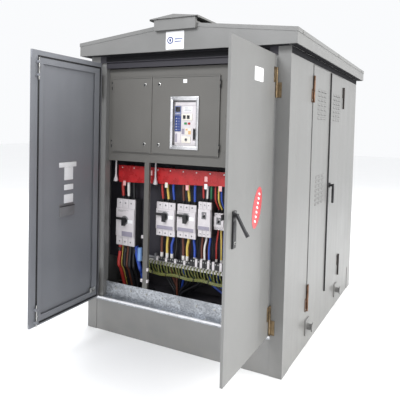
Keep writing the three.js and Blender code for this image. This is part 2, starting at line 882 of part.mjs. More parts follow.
function innerFrame() {
  const half = stopHalf - restGap;
  const back = innerY + frameDepth;
  const low = plinthHeight + sillUpstand + restGap;
  const block = box(-half, half, innerY, back, beamLow, frameHigh);
  const doors = [[meterDoorLeft, meterDoorRight], [acbDoorLeft, acbDoorRight]];
  const windows = doors.map(([left, right]) => box(
    left + stileOverlap, right - stileOverlap, innerY - 1, back + 1,
    coverLow + stileOverlap, coverHigh - stileOverlap,
  ));
  const spare = box(
    acbDoorRight + 30, half - 30, innerY + sheet, back + 1,
    coverLow + stileOverlap, coverHigh - stileOverlap,
  );
  const mullion = box(mullionLeft, mullionLeft + mullionWidth, innerY, back, low, beamLow + 1);
  const shelfTop = cutoutLow - acbMargin - restGap;
  const shelf = [
    box(cutoutLeft, cutoutRight, back - 1, back + sheet, beamHigh - 20, shelfTop),
    box(cutoutLeft, cutoutRight, back - 1, acbBack, shelfTop - sheet, shelfTop),
  ];
  return join([join([block], [...windows, spare]), mullion, ...shelf]);
}

add('inner_frame', innerFrame(), darkPaint);

const smallPinRadius = 2;
const smallKnuckleRadius = 4;
const smallKnuckleLength = 22;
const smallFace = 2;
const smallPinY = innerY - restGap - smallLeafThickness - smallFace;

function smallLeaf(side, reach) {
  return {
    side,
    start: 3,
    reach,
    face: smallFace,
    thickness: smallLeafThickness,
    skin: leafSkin,
    bottom: coverLow,
    top: coverHigh,
    lips: { hinge: 14, free: 14, bottom: 14, top: 14 },
    knuckles: [coverLow + 60, coverHigh - 70],
    knuckleLength: smallKnuckleLength,
    knuckleRadius: smallKnuckleRadius,
    pinRadius: smallPinRadius,
  };
}

const meterDoorGroup = leafGroup(meterDoorLeft, smallPinY, 0, 1, 0);
const meterDoor = leafSolid(smallLeaf(1, meterDoorRight - meterDoorLeft));
add('meter_compartment_door', meterDoor, darkPaint, meterDoorGroup);

const acbDoorGroup = leafGroup(acbDoorRight, smallPinY, 0, -1, 0);
const acbCutout = box(
  cutoutLeft - acbDoorRight, cutoutRight - acbDoorRight, -20, 60, cutoutLow, cutoutHigh,
);
const acbDoor = leafSolid(smallLeaf(-1, acbDoorRight - acbDoorLeft), [], [acbCutout]);
add('main_breaker_door', acbDoor, darkPaint, acbDoorGroup);

// ---------------------------------------------------------------- main breaker

const buttonWidth = 20;
const buttonHeight = 14;
const buttonTravel = 3;
const buttonProud = 4;
const onButtonX = 18;
const offButtonX = 48;
const buttonsHeight = 1702;
const chargeHandleX = 94;
const chargePivotHeight = 1592;

function mainBreaker() {
  const body = box(
    cutoutLeft - acbMargin, cutoutRight + acbMargin, acbFace, acbBack,
    cutoutLow - acbMargin, cutoutHigh + acbMargin,
  );
  const pockets = [onButtonX, offButtonX].map((x) => box(
    x - buttonWidth / 2 - 1, x + buttonWidth / 2 + 1, acbFace - 1, acbFace + 14,
    buttonsHeight - buttonHeight / 2 - 1, buttonsHeight + buttonHeight / 2 + 1,
  ));
  const handleBay = box(
    chargeHandleX - 12, chargeHandleX + 12, acbFace - 1, acbFace + 18,
    chargePivotHeight - 16, chargePivotHeight + 74,
  );
  return join([body], [...pockets, handleBay]);
}

add('main_breaker', mainBreaker(), whitePlastic);

function breakerButton(x) {
  return box(
    x - buttonWidth / 2, x + buttonWidth / 2, acbFace - buttonProud, acbFace + 14 - buttonTravel - 1,
    buttonsHeight - buttonHeight / 2, buttonsHeight + buttonHeight / 2,
  );
}

add('on_button', breakerButton(onButtonX), greenPlastic);
add('off_button', breakerButton(offButtonX), redPlastic);

const chargingHandle = join([
  rod('x', 7, chargeHandleX - 10, chargeHandleX + 10, acbFace + 6, chargePivotHeight),
  box(
    chargeHandleX - 9, chargeHandleX + 9, acbFace - 6, acbFace + 8,
    chargePivotHeight, chargePivotHeight + 66,
  ),
]);
add('charging_handle', chargingHandle, blackPlastic);

// ---------------------------------------------------------------- outgoing breakers

const breakerPlateY = frontY + 270;
const breakerBack = breakerPlateY - restGap;
const largeFace = frontY + 150;
const smallFaceY = frontY + 196;
const breakers = [
  { left: -686, width: 186, low: 676, height: 389, face: largeFace, rotary: true, handleUp: 0.55 },
  { left: -288, width: 174, low: 806, height: 269, face: largeFace, rotary: true, handleUp: 0.6 },
  { left: -94, width: 167, low: 812, height: 264, face: largeFace, rotary: true, handleUp: 0.62 },
  { left: 92, width: 110, low: 842, height: 268, face: largeFace, rotary: false, handleUp: 0.62 },
  { left: 207, width: 84, low: 900, height: 128, face: smallFaceY, rotary: false, handleUp: 0.55 },
];
const hubRadius = 24;
const hubHeight = 14;
const rotaryShaft = 6;
const rotaryLever = 75;
const gripHalf = 15;
const gripDepth = 14;
const gripDrop = 42;
const toggleHalf = 7;
const toggleSlotUp = 34;
const toggleDepth = 22;
const togglePivotDepth = 15;
const toggleProud = 14;
const toggleRest = 20;

function breakerBody(breaker) {
  const { left, width, low, height, face } = breaker;
  const right = left + width;
  const centre = left + width / 2;
  const handleHeight = low + height * breaker.handleUp;
  const shoulder = 10;
  const body = [
    box(left, right, face + shoulder, breakerBack, low, low + height),
    box(left, right, face, face + shoulder + 1, low + height * 0.2, low + height * 0.8),
  ];
  if (breaker.rotary) {
    return join(body, [rod('y', rotaryShaft + 0.5, face - 1, face + 20, centre, handleHeight)]);
  }
  return join(body, [box(
    centre - toggleHalf - 1, centre + toggleHalf + 1, face - 1, face + toggleDepth,
    handleHeight - toggleSlotUp / 2, handleHeight + toggleSlotUp / 2,
  )]);
}

function rotaryHandle(breaker) {
  const { left, width, low, height, face } = breaker;
  const centre = left + width / 2;
  const z = low + height * breaker.handleUp;
  const front = face - restGap - hubHeight;
  return join([
    rod('y', rotaryShaft, front + 1, face + 18, centre, z),
    rod('y', hubRadius, front, face - restGap, centre, z, 20),
    box(centre - rotaryLever, centre + gripHalf, front - gripDepth, front + 1, z + 6, z + hubRadius),
    box(centre - gripHalf, centre + gripHalf, front - gripDepth, front + 1, z - gripDrop, z + 8),
  ]);
}

// The toggle about its own pivot, pointing straight out.
function toggleHandle() {
  return join([
    rod('x', 5, -toggleHalf, toggleHalf, 0, 0),
    box(-toggleHalf + 1, toggleHalf - 1, -toggleProud - togglePivotDepth, 0, -5, 5),
  ]);
}

breakers.forEach((breaker, index) => {
  const number = index + 1;
  add(`outgoing_breaker_${number}`, breakerBody(breaker), whitePlastic);
  if (breaker.rotary) {
    add(`breaker_handle_${number}`, rotaryHandle(breaker), blackPlastic);
    return;
  }
  const toggle = add(`breaker_handle_${number}`, toggleHandle(), blackPlastic);
  toggle.position.set(
    breaker.left + breaker.width / 2, breaker.face + togglePivotDepth,
    breaker.low + breaker.height * breaker.handleUp,
  );
  toggle.rotation.x = THREE.MathUtils.degToRad(toggleRest);
});

const breakerPlateLow = 540;
const breakerPlateHigh = 1370;

function breakerPlate() {
  const edge = halfWidth - sheet - restGap;
  const low = breakerPlateLow;
  const high = breakerPlateHigh;
  const folded = breakerPlateY + partitionFold;
  return join([
    box(-edge, edge, breakerPlateY, breakerPlateY + sheet, low, high),
    box(-edge, edge, breakerPlateY, folded, high - sheet, high),
    box(-edge, edge, breakerPlateY, folded, low, low + sheet),
  ]);
}

add('breaker_plate', breakerPlate(), floorSteel);

const busCoverY = frontY + 165;
const busCoverTop = 1346;
const busCoverLeft = 25;
const busCoverRight = 8;
const busCoverLeftLow = 1203;
const busCoverRightLow = 1254;
const busCoverStays = [-600, -200, 200, 600];
const busCoverStayHalf = 10;

function busbarCover() {
  const left = busCoverLeft - stopHalf;
  const right = stopHalf - busCoverRight;
  const outline = [
    [left, busCoverLeftLow], [right, busCoverRightLow], [right, busCoverTop], [left, busCoverTop],
  ];
  const stays = busCoverStays.map((x) => box(
    x - busCoverStayHalf, x + busCoverStayHalf, busCoverY + 1, breakerPlateY - restGap,
    busCoverTop - 14, busCoverTop,
  ));
  return join([prismAlongY(outline, busCoverY, busCoverY + sheet), ...stays]);
}

add('busbar_cover', busbarCover(), redPlastic);

const earthBarY = frontY + 200;
const earthBarLow = 556;
const earthBarHigh = 596;
const earthBarLeft = -480;
const earthBarRight = 640;
const earthBarThickness = 8;
const earthBarStays = [-440, 600];
const earthBarStayHalf = 15;

function earthBar() {
  const stays = earthBarStays.map((x) => box(
    x - earthBarStayHalf, x + earthBarStayHalf, earthBarY + 1, breakerPlateY - restGap,
    earthBarLow, earthBarHigh,
  ));
  const bar = box(
    earthBarLeft, earthBarRight, earthBarY, earthBarY + earthBarThickness,
    earthBarLow, earthBarHigh,
  );
  return join([bar, ...stays]);
}

add('earth_bar', earthBar(), galvanised);

// ---------------------------------------------------------------- transformer

const tankHalfX = 500;
const tankHalfY = 245;
const tankTop = 1340;
const finReach = 105;
const finThickness = 10;
const finPitch = 50;
const finLow = 420;
const finHigh = tankTop - 60;
const skidHeight = 80;
const tankWall = 5;
const tankRim = 18;
const skidHalf = 40;
const skidReach = 340;

function transformerTank() {
  const y0 = transformerY - tankHalfY;
  const y1 = transformerY + tankHalfY;
  const low = crossMemberHeight + restGap;
  const pieces = [
    box(-tankHalfX, tankHalfX, y0, y1, low + skidHeight, tankTop),
    box(-tankHalfX - tankRim, tankHalfX + tankRim, y0 - tankRim, y1 + tankRim, tankTop - 10, tankTop),
  ];
  for (const x of [-skidSpread, skidSpread]) {
    pieces.push(box(
      x - skidHalf, x + skidHalf, transformerY - skidReach, transformerY + skidReach,
      low, low + skidHeight + 1,
    ));
  }
  const alongX = Math.floor((2 * tankHalfX - 60) / finPitch);
  for (let i = 0; i <= alongX; i += 1) {
    const x = (i - alongX / 2) * finPitch;
    pieces.push(box(
      x - finThickness / 2, x + finThickness / 2, y0 - finReach, y1 + finReach, finLow, finHigh,
    ));
  }
  const alongY = Math.floor((2 * tankHalfY - 60) / finPitch);
  for (let i = 0; i <= alongY; i += 1) {
    const y = transformerY + (i - alongY / 2) * finPitch;
    pieces.push(box(
      -tankHalfX - finReach, tankHalfX + finReach, y - finThickness / 2, y + finThickness / 2,
      finLow, finHigh,
    ));
  }
  const cavity = box(
    -tankHalfX + tankWall, tankHalfX - tankWall, y0 + tankWall, y1 - tankWall,
    low + skidHeight + tankWall, tankTop + 1,
  );
  return join(pieces, [cavity]);
}

add('transformer_tank', transformerTank(), tankPaint);

const limbRadius = 135;
const limbPitch = 300;
const limbHeight = 560;
const yokeHeight = 150;
const coreFeet = 60;
const coreHalfDepth = 75;
const coreFootHalf = 50;

function coreAndWindings() {
  const low = crossMemberHeight + restGap + skidHeight + tankWall + restGap;
  const limbLow = low + coreFeet + yokeHeight;
  const reach = limbPitch + limbRadius;
  const pieces = [
    box(
      -reach, reach, transformerY - coreHalfDepth, transformerY + coreHalfDepth,
      low + coreFeet, limbLow + 1,
    ),
    box(
      -reach, reach, transformerY - coreHalfDepth, transformerY + coreHalfDepth,
      limbLow + limbHeight - 1, limbLow + limbHeight + yokeHeight,
    ),
  ];
  for (const x of [-limbPitch, 0, limbPitch]) {
    pieces.push(rod('z', limbRadius, limbLow, limbLow + limbHeight, x, transformerY, 24));
    pieces.push(box(
      x - coreFootHalf, x + coreFootHalf, transformerY - coreHalfDepth, transformerY + coreHalfDepth,
      low, low + coreFeet + 1,
    ));
  }
  return join(pieces);
}

add('core_and_windings', coreAndWindings(), copper);

const coverThickness = 12;
const highBushings = [-260, 0, 260];
const highBushingRadius = 42;
const highBushingHeight = 220;
const highStudRadius = 12;
const highStudHeight = 40;
const lowBushings = [-300, -100, 100, 300];
const lowBushingRadius = 28;
const lowBushingHeight = 90;
const lowPalmHalf = 20;
const lowPalmThickness = 12;
const lowPalmHeight = 80;
const bushingRowSpread = 130;

function transformerCover() {
  const low = tankTop + restGap;
  const high = low + coverThickness;
  const edgeX = tankHalfX + tankRim;
  const edgeY = tankHalfY + tankRim;
  const highY = transformerY + bushingRowSpread;
  const lowY = transformerY - bushingRowSpread;
  const highTop = high + highBushingHeight;
  const lowTop = high + lowBushingHeight;
  const pieces = [box(-edgeX, edgeX, transformerY - edgeY, transformerY + edgeY, low, high)];
  for (const x of highBushings) {
    pieces.push(rod('z', highBushingRadius, high - 1, highTop, x, highY, 16));
    pieces.push(rod('z', highStudRadius, highTop - 1, highTop + highStudHeight, x, highY, 12));
  }
  for (const x of lowBushings) {
    pieces.push(rod('z', lowBushingRadius, high - 1, lowTop, x, lowY, 16));
    pieces.push(box(
      x - lowPalmHalf, x + lowPalmHalf, lowY - lowPalmThickness / 2, lowY + lowPalmThickness / 2,
      lowTop - 1, lowTop + lowPalmHeight,
    ));
  }
  return join(pieces);
}

add('transformer_cover', transformerCover(), tankPaint);

// ---------------------------------------------------------------- medium-voltage switchgear

const switchgearTop = 1680;
const switchgearHalf = 520;
const switchgearBehind = 30;
const switchgearFromRear = 110;
const cableShelfHeight = 560;
const cableShelfRim = 40;
const cableWindowSide = 60;
const cableWindowHigh = 520;

function switchgear() {
  const low = plinthHeight + restGap + floorThickness + restGap;
  const back = mediumVoltageBack + sheet + switchgearBehind;
  const front = rearY - switchgearFromRear;
  const half = switchgearHalf;
  const cabinet = box(-half, half, back, front, low, switchgearTop);
  const inside = box(
    -half + sheet, half - sheet, back + sheet, front - sheet, low - 1, switchgearTop - sheet,
  );
  const shelfLow = low + cableShelfHeight;
  const shelf = box(-half + 1, half - 1, back + 1, front - 1, shelfLow, shelfLow + sheet);
  const shelfWindow = box(
    -half + cableShelfRim, half - cableShelfRim, back + cableShelfRim, front - cableShelfRim,
    shelfLow - 1, shelfLow + sheet + 1,
  );
  const cableWindow = box(
    -half + cableWindowSide, half - cableWindowSide, front - sheet - 1, front + 1,
    low + cableWindowSide, low + cableWindowHigh,
  );
  return join([join([cabinet], [inside, cableWindow]), shelf], [shelfWindow]);
}

add('mv_switchgear', switchgear(), switchgearPaint);

export default root;
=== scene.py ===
import json
import math
import random

import bmesh
import bpy
from mathutils import Matrix, Vector


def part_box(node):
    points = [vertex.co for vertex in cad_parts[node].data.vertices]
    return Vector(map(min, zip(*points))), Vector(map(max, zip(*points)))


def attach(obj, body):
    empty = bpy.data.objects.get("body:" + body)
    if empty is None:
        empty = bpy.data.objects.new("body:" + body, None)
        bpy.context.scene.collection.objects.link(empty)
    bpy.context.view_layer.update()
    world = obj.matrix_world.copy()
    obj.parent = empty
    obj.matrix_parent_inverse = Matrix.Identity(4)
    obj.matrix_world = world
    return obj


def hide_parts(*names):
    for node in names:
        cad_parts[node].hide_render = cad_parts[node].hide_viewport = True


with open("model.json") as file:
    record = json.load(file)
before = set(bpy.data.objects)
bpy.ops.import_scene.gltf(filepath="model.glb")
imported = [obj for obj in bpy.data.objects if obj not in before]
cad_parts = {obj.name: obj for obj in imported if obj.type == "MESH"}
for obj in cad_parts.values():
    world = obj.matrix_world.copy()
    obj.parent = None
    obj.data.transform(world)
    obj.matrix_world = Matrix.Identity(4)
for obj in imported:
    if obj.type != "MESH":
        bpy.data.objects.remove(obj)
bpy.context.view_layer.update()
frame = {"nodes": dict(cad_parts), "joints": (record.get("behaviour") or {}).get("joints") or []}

NODES = frame["nodes"]
JOINTS = {joint["name"]: joint for joint in frame["joints"]}

# ------------------------------------------------------------------ camera, light and floor

CAMERA_PLACE = (1.8006, -4.1842, 1.6727)
CAMERA_TURN = 27.84
CAMERA_TILT = -2.18
CAMERA_ROLL = 1.42
CAMERA_LENS = 42.9
CAMERA_SHIFT = (-0.006, -0.135)

# name, place, target, width and height in metres, power in watts, colour
SOFTBOXES = (
    ("key", (6.0, -0.8, 3.2), (0.8, -0.3, 1.2), (4.5, 3.0), 285, (1.0, 0.99, 0.96)),
    ("gable", (-0.6, -4.6, 4.4), (0.0, -1.2, 2.4), (1.6, 0.8), 30, (0.98, 0.99, 1.0)),
    ("front_fill", (-1.0, -6.5, 5.0), (0.0, -1.0, 1.2), (3.0, 2.0), 190, (0.97, 0.98, 1.0)),
    ("rear_fill", (-5.0, 5.0, 4.0), (0.0, 0.5, 1.2), (4.0, 3.0), 200, (0.97, 0.98, 1.0)),
    ("top", (0.5, 1.0, 6.5), (0.0, 0.0, 1.0), (5.0, 5.0), 190, (1.0, 1.0, 1.0)),
)
SKY_COLOUR = (0.975, 0.985, 1.0, 1.0)
SKY_STRENGTH = 0.98
FLOOR_HALF = 30
FLOOR_THICKNESS = 0.02
FLOOR_GAP = 0.0005    # between the floor and the plinth's underside


def make_camera():
    data = bpy.data.cameras.new("camera")
    data.lens = CAMERA_LENS
    data.sensor_width = 36.0
    data.shift_x, data.shift_y = CAMERA_SHIFT
    camera = bpy.data.objects.new("camera", data)
    camera.matrix_world = (
        Matrix.Translation(CAMERA_PLACE)
        @ Matrix.Rotation(math.radians(CAMERA_TURN), 4, "Z")
        @ Matrix.Rotation(math.radians(90 + CAMERA_TILT), 4, "X")
        @ Matrix.Rotation(math.radians(CAMERA_ROLL), 4, "Z")
    )
    bpy.context.scene.collection.objects.link(camera)
    bpy.context.scene.camera = camera


def softbox(name, place, target, size, power, colour):
    data = bpy.data.lights.new(name, "AREA")
    data.shape = "RECTANGLE"
    data.size, data.size_y = size
    data.energy = power
    data.color = colour
    lamp = bpy.data.objects.new(name, data)
    lamp.location = place
    lamp.rotation_euler = (Vector(target) - Vector(place)).to_track_quat("-Z", "Y").to_euler()
    bpy.context.scene.collection.objects.link(lamp)


def make_light():
    for row in SOFTBOXES:
        softbox(*row)
    world = bpy.data.worlds.new("studio")
    world.use_nodes = True
    background = world.node_tree.nodes["Background"]
    background.inputs["Color"].default_value = SKY_COLOUR
    background.inputs["Strength"].default_value = SKY_STRENGTH
    bpy.context.scene.world = world
    bpy.context.scene.view_settings.view_transform = "Standard"


def make_floor():
    """A wide pale slab, just below the plinth."""
    slab = Piece("studio_floor")
    slab.block(around(0, FLOOR_HALF), around(0, FLOOR_HALF), (-FLOOR_THICKNESS, -FLOOR_GAP), floor_finish())
    slab.to_object()


# ------------------------------------------------------------------ procedural finishes

SHEET_WARP = 0.010       # height of the slow waves in a large sheet
SKY_TINT_BLEND = 0.0002    # half the depth over which one leaf colour turns into the other
DUST_COLOUR = (0.36, 0.33, 0.28)
DUST_HEIGHT = 0.55


def node(tree, kind, inputs=None, **settings):
    made = tree.nodes.new("ShaderNode" + kind)
    for key, value in settings.items():
        setattr(made, key, value)
    for key, value in (inputs or {}).items():
        if isinstance(value, bpy.types.NodeSocket):
            tree.links.new(value, made.inputs[key])
        else:
            made.inputs[key].default_value = value
    return made


def new_finish(name, roughness, metallic=0.0, specular=0.5, coat=0.0):
    material = bpy.data.materials.new(name)
    material.use_nodes = True
    tree = material.node_tree
    shader = tree.nodes["Principled BSDF"]
    shader.inputs["Roughness"].default_value = roughness
    shader.inputs["Metallic"].default_value = metallic
    shader.inputs["Specular IOR Level"].default_value = specular
    shader.inputs["Coat Weight"].default_value = coat
    shader.inputs["Coat Roughness"].default_value = 0.2
    return material, tree, shader


def object_place(tree):
    return node(tree, "TexCoord").outputs["Object"]


def noise(tree, scale, detail=3.0, stretch=(1, 1, 1)):
    moved = node(tree, "Mapping", {"Vector": object_place(tree), "Scale": stretch})
    return node(tree, "TexNoise", {"Vector": moved.outputs[0], "Scale": scale, "Detail": detail}).outputs[0]


def graded(tree, value, from_low, from_high, low, high):
    return node(tree, "MapRange", {
        "Value": value, "From Min": from_low, "From Max": from_high, "To Min": low, "To Max": high,
    }).outputs[0]


def blended(tree, share, first, second):
    first, second = [
        colour if isinstance(colour, bpy.types.NodeSocket) else (*colour, 1.0) for colour in (first, second)
    ]
    return node(tree, "Mix", {0: share, 6: first, 7: second}, data_type="RGBA").outputs[2]


def tint(colour, factor):
    return tuple(min(1.0, part * factor) for part in colour)


def product(tree, first, second):
    return node(tree, "Math", {0: first, 1: second}, operation="MULTIPLY").outputs[0]


def drifting(tree, patches, colour, drift):
    """The colour, a little darker and a little paler by patches."""
    share = graded(tree, patches, 0.3, 0.7, 0.0, 1.0)
    return blended(tree, share, tint(colour, 1 - drift), tint(colour, 1 + drift))


def dress(tree, shader, colour, patches=None, rough=(0, 0), bump=None):
    """Links a colour, a roughness that follows patches, and a bump: height, distance, strength, normal."""
    tree.links.new(colour, shader.inputs["Base Color"])
    if patches:
        tree.links.new(graded(tree, patches, 0.3, 0.7, *rough), shader.inputs["Roughness"])
    if bump:
        values = dict(zip(("Height", "Distance", "Strength", "Normal"), bump))
        tree.links.new(node(tree, "Bump", values).outputs[0], shader.inputs["Normal"])


def projection(tree, first, second):
    return node(tree, "VectorMath", {0: first, 1: second}, operation="DOT_PRODUCT").outputs["Value"]


def edge_wear_and_highlight(tree, radius):
    """Where the rounded normal leaves the flat one, 1 on an edge and 0 elsewhere, and that rounded normal."""
    rounded = node(tree, "Bevel", {"Radius": radius}, samples=4).outputs[0]
    flat = node(tree, "NewGeometry").outputs["Normal"]
    return graded(tree, projection(tree, rounded, flat), 0.995, 0.86, 0.0, 1.0), rounded


def coated_metal(
    name, colour, roughness, drift=0.07, peel=0.00022, wear_and_highlight=0.35, dust=0.10, warp=0.0, sky_tint_side=None,
):
    """Powder coat or paint: slow tone drift, fine speckle, orange peel, edges paler from wear and from a
    painted highlight, dust low down, and on request a painted sky reflection on one side.
    """
    material, tree, shader = new_finish(name, roughness)
    slow = noise(tree, 2.3, 4.0)
    base = drifting(tree, slow, colour, drift)
    speckle = graded(tree, noise(tree, 260.0, 2.0), 0.35, 0.8, 0.0, 0.10)
    base = blended(tree, speckle, base, tint(colour, 1.5))
    edge, rounded = edge_wear_and_highlight(tree, 0.0016)
    # pale edges: partly wear, partly a painted highlight
    patchy = product(tree, edge, graded(tree, noise(tree, 45.0), 0.40, 0.65, 0.2, wear_and_highlight))
    base = blended(tree, patchy, base, tint(colour, 2.0))
    height = node(tree, "SeparateXYZ", {0: object_place(tree)}).outputs["Z"]
    low = graded(tree, height, DUST_HEIGHT, 0.0, 0.0, dust)
    dusty = product(tree, low, graded(tree, noise(tree, 9.0, 5.0), 0.35, 0.7, 0.2, 1.0))
    base = blended(tree, dusty, base, DUST_COLOUR)
    # a cooler, paler grey past a plane through the sheet: painted sky reflection
    if sky_tint_side:
        normal, offset, inside = sky_tint_side
        depth = projection(tree, object_place(tree), normal)
        within = graded(tree, depth, offset - SKY_TINT_BLEND, offset + SKY_TINT_BLEND, 0.0, 1.0)
        base = blended(tree, within, base, blended(tree, slow, tint(inside, 0.85), tint(inside, 1.12)))
    if warp:
        waves = noise(tree, 1.5, 2.0, (2.5, 2.5, 0.2))
        rounded = node(tree, "Bump", {"Height": waves, "Distance": warp, "Normal": rounded}).outputs[0]
    bump = (noise(tree, 900.0, 1.0), peel, 0.5, rounded)
    dress(tree, shader, base, slow, (roughness - 0.05, roughness + 0.07), bump)
    return material


def galvanised_metal(name, colour, roughness=0.38, low=0.72, high=1.2):
    """Zinc with its spangle: cells of slightly different grey and gloss."""
    material, tree, shader = new_finish(name, roughness, metallic=0.85)
    cells = node(tree, "TexVoronoi", {"Vector": object_place(tree), "Scale": 95.0})
    tone = node(tree, "SeparateColor", {0: cells.outputs["Color"]}).outputs[0]
    base = blended(tree, tone, tint(colour, low), tint(colour, high))
    stains = graded(tree, noise(tree, 9.0, 5.0), 0.42, 0.68, 0.0, 0.6)
    base = blended(tree, stains, base, tint(colour, 0.55))
    rounded = edge_wear_and_highlight(tree, 0.001)[1]
    dress(tree, shader, base, bump=(noise(tree, 26.0), 0.0004, 1.0, rounded))
    gloss = graded(tree, tone, 0.0, 1.0, roughness - 0.05, roughness + 0.12)
    tree.links.new(gloss, shader.inputs["Roughness"])
    return material


def bare_metal(name, colour, roughness, stretch=(1, 1, 12), tarnish=0.5):
    """Plated, cast or drawn metal with draw marks and patches of tarnish."""
    material, tree, shader = new_finish(name, roughness, metallic=0.95)
    patches = graded(tree, noise(tree, 22.0, 5.0), 0.4, 0.7, 0.0, 1.0)
    base = blended(tree, patches, colour, tint(colour, tarnish))
    marks = noise(tree, 350.0, 2.0, stretch)
    rounded = edge_wear_and_highlight(tree, 0.0008)[1]
    dress(tree, shader, base, marks, (roughness - 0.08, roughness + 0.12), (marks, 0.0001, 1.0, rounded))
    return material


def plastic(name, colour, roughness=0.42, grain=500.0, depth=0.00012, drift=0.05, rub_and_highlight=0.25):
    """Moulded plastic: a faint tone drift, spark-eroded grain and edges paler, partly rubbed and partly a
    painted highlight.
    """
    material, tree, shader = new_finish(name, roughness)
    slow = noise(tree, 18.0)
    edge, rounded = edge_wear_and_highlight(tree, 0.0009)
    pale = tuple(part * 0.8 + 0.12 for part in colour)
    base = blended(tree, product(tree, edge, rub_and_highlight), drifting(tree, slow, colour, drift), pale)
    bump = (noise(tree, grain, 2.0), depth, 1.0, rounded)
    dress(tree, shader, base, slow, (roughness - 0.05, roughness + 0.06), bump)
    return material


def striped_sleeve(name, first, second, pitch):
    """Two-colour cable sleeve: bands that wind round the wire."""
    material, tree, shader = new_finish(name, 0.4)
    wave = node(tree, "TexWave", {
        "Vector": object_place(tree), "Scale": 1.0 / pitch, "Distortion": 0.6, "Detail Scale": 3.0,
    }, wave_type="BANDS", bands_direction="DIAGONAL")
    band = graded(tree, wave.outputs["Fac"], 0.45, 0.55, 0.0, 1.0)
    dress(tree, shader, blended(tree, band, first, second))
    return material


def clear_glass(name, colour):
    """Dark glossy window, with a faint smear."""
    material, tree, shader = new_finish(name, 0.12, coat=0.6)
    smear = noise(tree, 30.0, 4.0, (1, 1, 4))
    share = graded(tree, smear, 0.4, 0.7, 0.0, 0.5)
    dress(tree, shader, blended(tree, share, colour, tint(colour, 2.0)), smear, (0.06, 0.22))
    return material


def floor_finish():
    material, tree, shader = new_finish("pale_floor", 0.75, specular=0.2)
    dress(tree, shader, blended(tree, noise(tree, 1.5, 3.0), (0.93, 0.935, 0.94), (0.96, 0.96, 0.96)))
    return material


PAINT_COLOUR = (0.182, 0.182, 0.179)
PAINT = coated_metal("enclosure_paint", PAINT_COLOUR, 0.33, warp=SHEET_WARP)
INNER_PAINT = coated_metal("inner_paint", (0.120, 0.116, 0.108), 0.45, wear_and_highlight=0.2, dust=0.0)
# Near-black paint; on the headers and the breaker plate it is painted shade.
DARK_PAINT_AND_SHADE = coated_metal("dark_paint_and_painted_shade", (0.024, 0.022, 0.030), 0.55, wear_and_highlight=0.15, dust=0.15)
# Near-black with little gloss: painted shade for the band under the eaves.
PAINTED_EAVE_SHADE = coated_metal("painted_eave_shade", (0.018, 0.018, 0.020), 0.85, wear_and_highlight=0.05, dust=0.0)
PAINTED_EAVE_SHADE.node_tree.nodes["Principled BSDF"].inputs["Specular IOR Level"].default_value = 0.08
TANK_PAINT = coated_metal("tank_paint", (0.155, 0.17, 0.165), 0.45)
CABINET_PAINT = coated_metal("switchgear_paint", (0.50, 0.51, 0.49), 0.42, dust=0.05)
ZINC = galvanised_metal("galvanised", (0.50, 0.52, 0.55))
SILL_ZINC = galvanised_metal("sill_zinc", (0.43, 0.45, 0.48), 0.42, 0.62, 1.35)
# Near-white metal: a painted highlight on the sill's lip.
EDGE_ZINC_HIGHLIGHT = bare_metal("zinc_edge_painted_highlight", (0.92, 0.92, 0.94), 0.65, tarnish=0.85)
BRIGHT_ZINC = bare_metal("zinc_plated", (0.62, 0.62, 0.60), 0.32)
BRASS = bare_metal("hinge_brass", (0.27, 0.20, 0.12), 0.5, tarnish=0.3)
BRONZE = bare_metal("hinge_bronze", (0.22, 0.13, 0.085), 0.5, tarnish=0.45)
DARK_BRONZE = bare_metal("dark_bronze", (0.055, 0.048, 0.045), 0.5, tarnish=0.5)
TIN = bare_metal("tinned_copper", (0.66, 0.65, 0.62), 0.34)
ALUMINIUM = bare_metal("aluminium_trim", (0.78, 0.78, 0.80), 0.3, stretch=(1, 12, 1), tarnish=0.8)
BLACK = plastic("black_plastic", (0.013, 0.013, 0.015), 0.38, rub_and_highlight=0.12)
# Near-black plastic: painted shade on the breakers' rear parts and in the duct's slots, and a dark block
# below the meter.
DARK_PLASTIC_AND_SHADE = plastic("dark_plastic_and_painted_shade", (0.030, 0.029, 0.032), 0.5, rub_and_highlight=0.08)
RUBBER = plastic("seal_rubber", (0.010, 0.010, 0.011), 0.7, grain=160.0, rub_and_highlight=0.05)
WHITE = plastic("breaker_plastic", (0.66, 0.625, 0.645), 0.4)
IVORY = plastic("ivory_plastic", (0.78, 0.74, 0.66), 0.4)
LAVENDER = plastic("grey_label_band", (0.31, 0.29, 0.36), 0.45)
GREY = plastic("grey_plastic", (0.20, 0.20, 0.21), 0.45)
NAVY = plastic("navy_plastic", (0.030, 0.055, 0.20), 0.35)
STEEL_BLUE = plastic("display_plastic", (0.16, 0.19, 0.34), 0.25)
RED = plastic("red_plastic", (0.40, 0.017, 0.020), 0.28, drift=0.18)
RED_BUTTON = plastic("off_red_plastic", (0.45, 0.02, 0.02), 0.35)
GREEN_BUTTON = plastic("green_plastic", (0.02, 0.25, 0.07), 0.35)
AMBER = plastic("amber_plastic", (0.70, 0.42, 0.20), 0.4)
PINK = plastic("tag_plastic", (0.80, 0.42, 0.42), 0.45)
PAPER = plastic("paper", (0.86, 0.86, 0.88), 0.8, grain=120.0, rub_and_highlight=0.0, drift=0.02)
SIGN_RED = plastic("sign_red", (0.58, 0.075, 0.085), 0.35)
CORE_STEEL = coated_metal("core_laminations", (0.07, 0.075, 0.085), 0.5)
PORCELAIN = plastic("glazed_porcelain", (0.16, 0.055, 0.03), 0.15, grain=40.0, rub_and_highlight=0.0)
WINDOW = clear_glass("dark_window", (0.012, 0.012, 0.016))
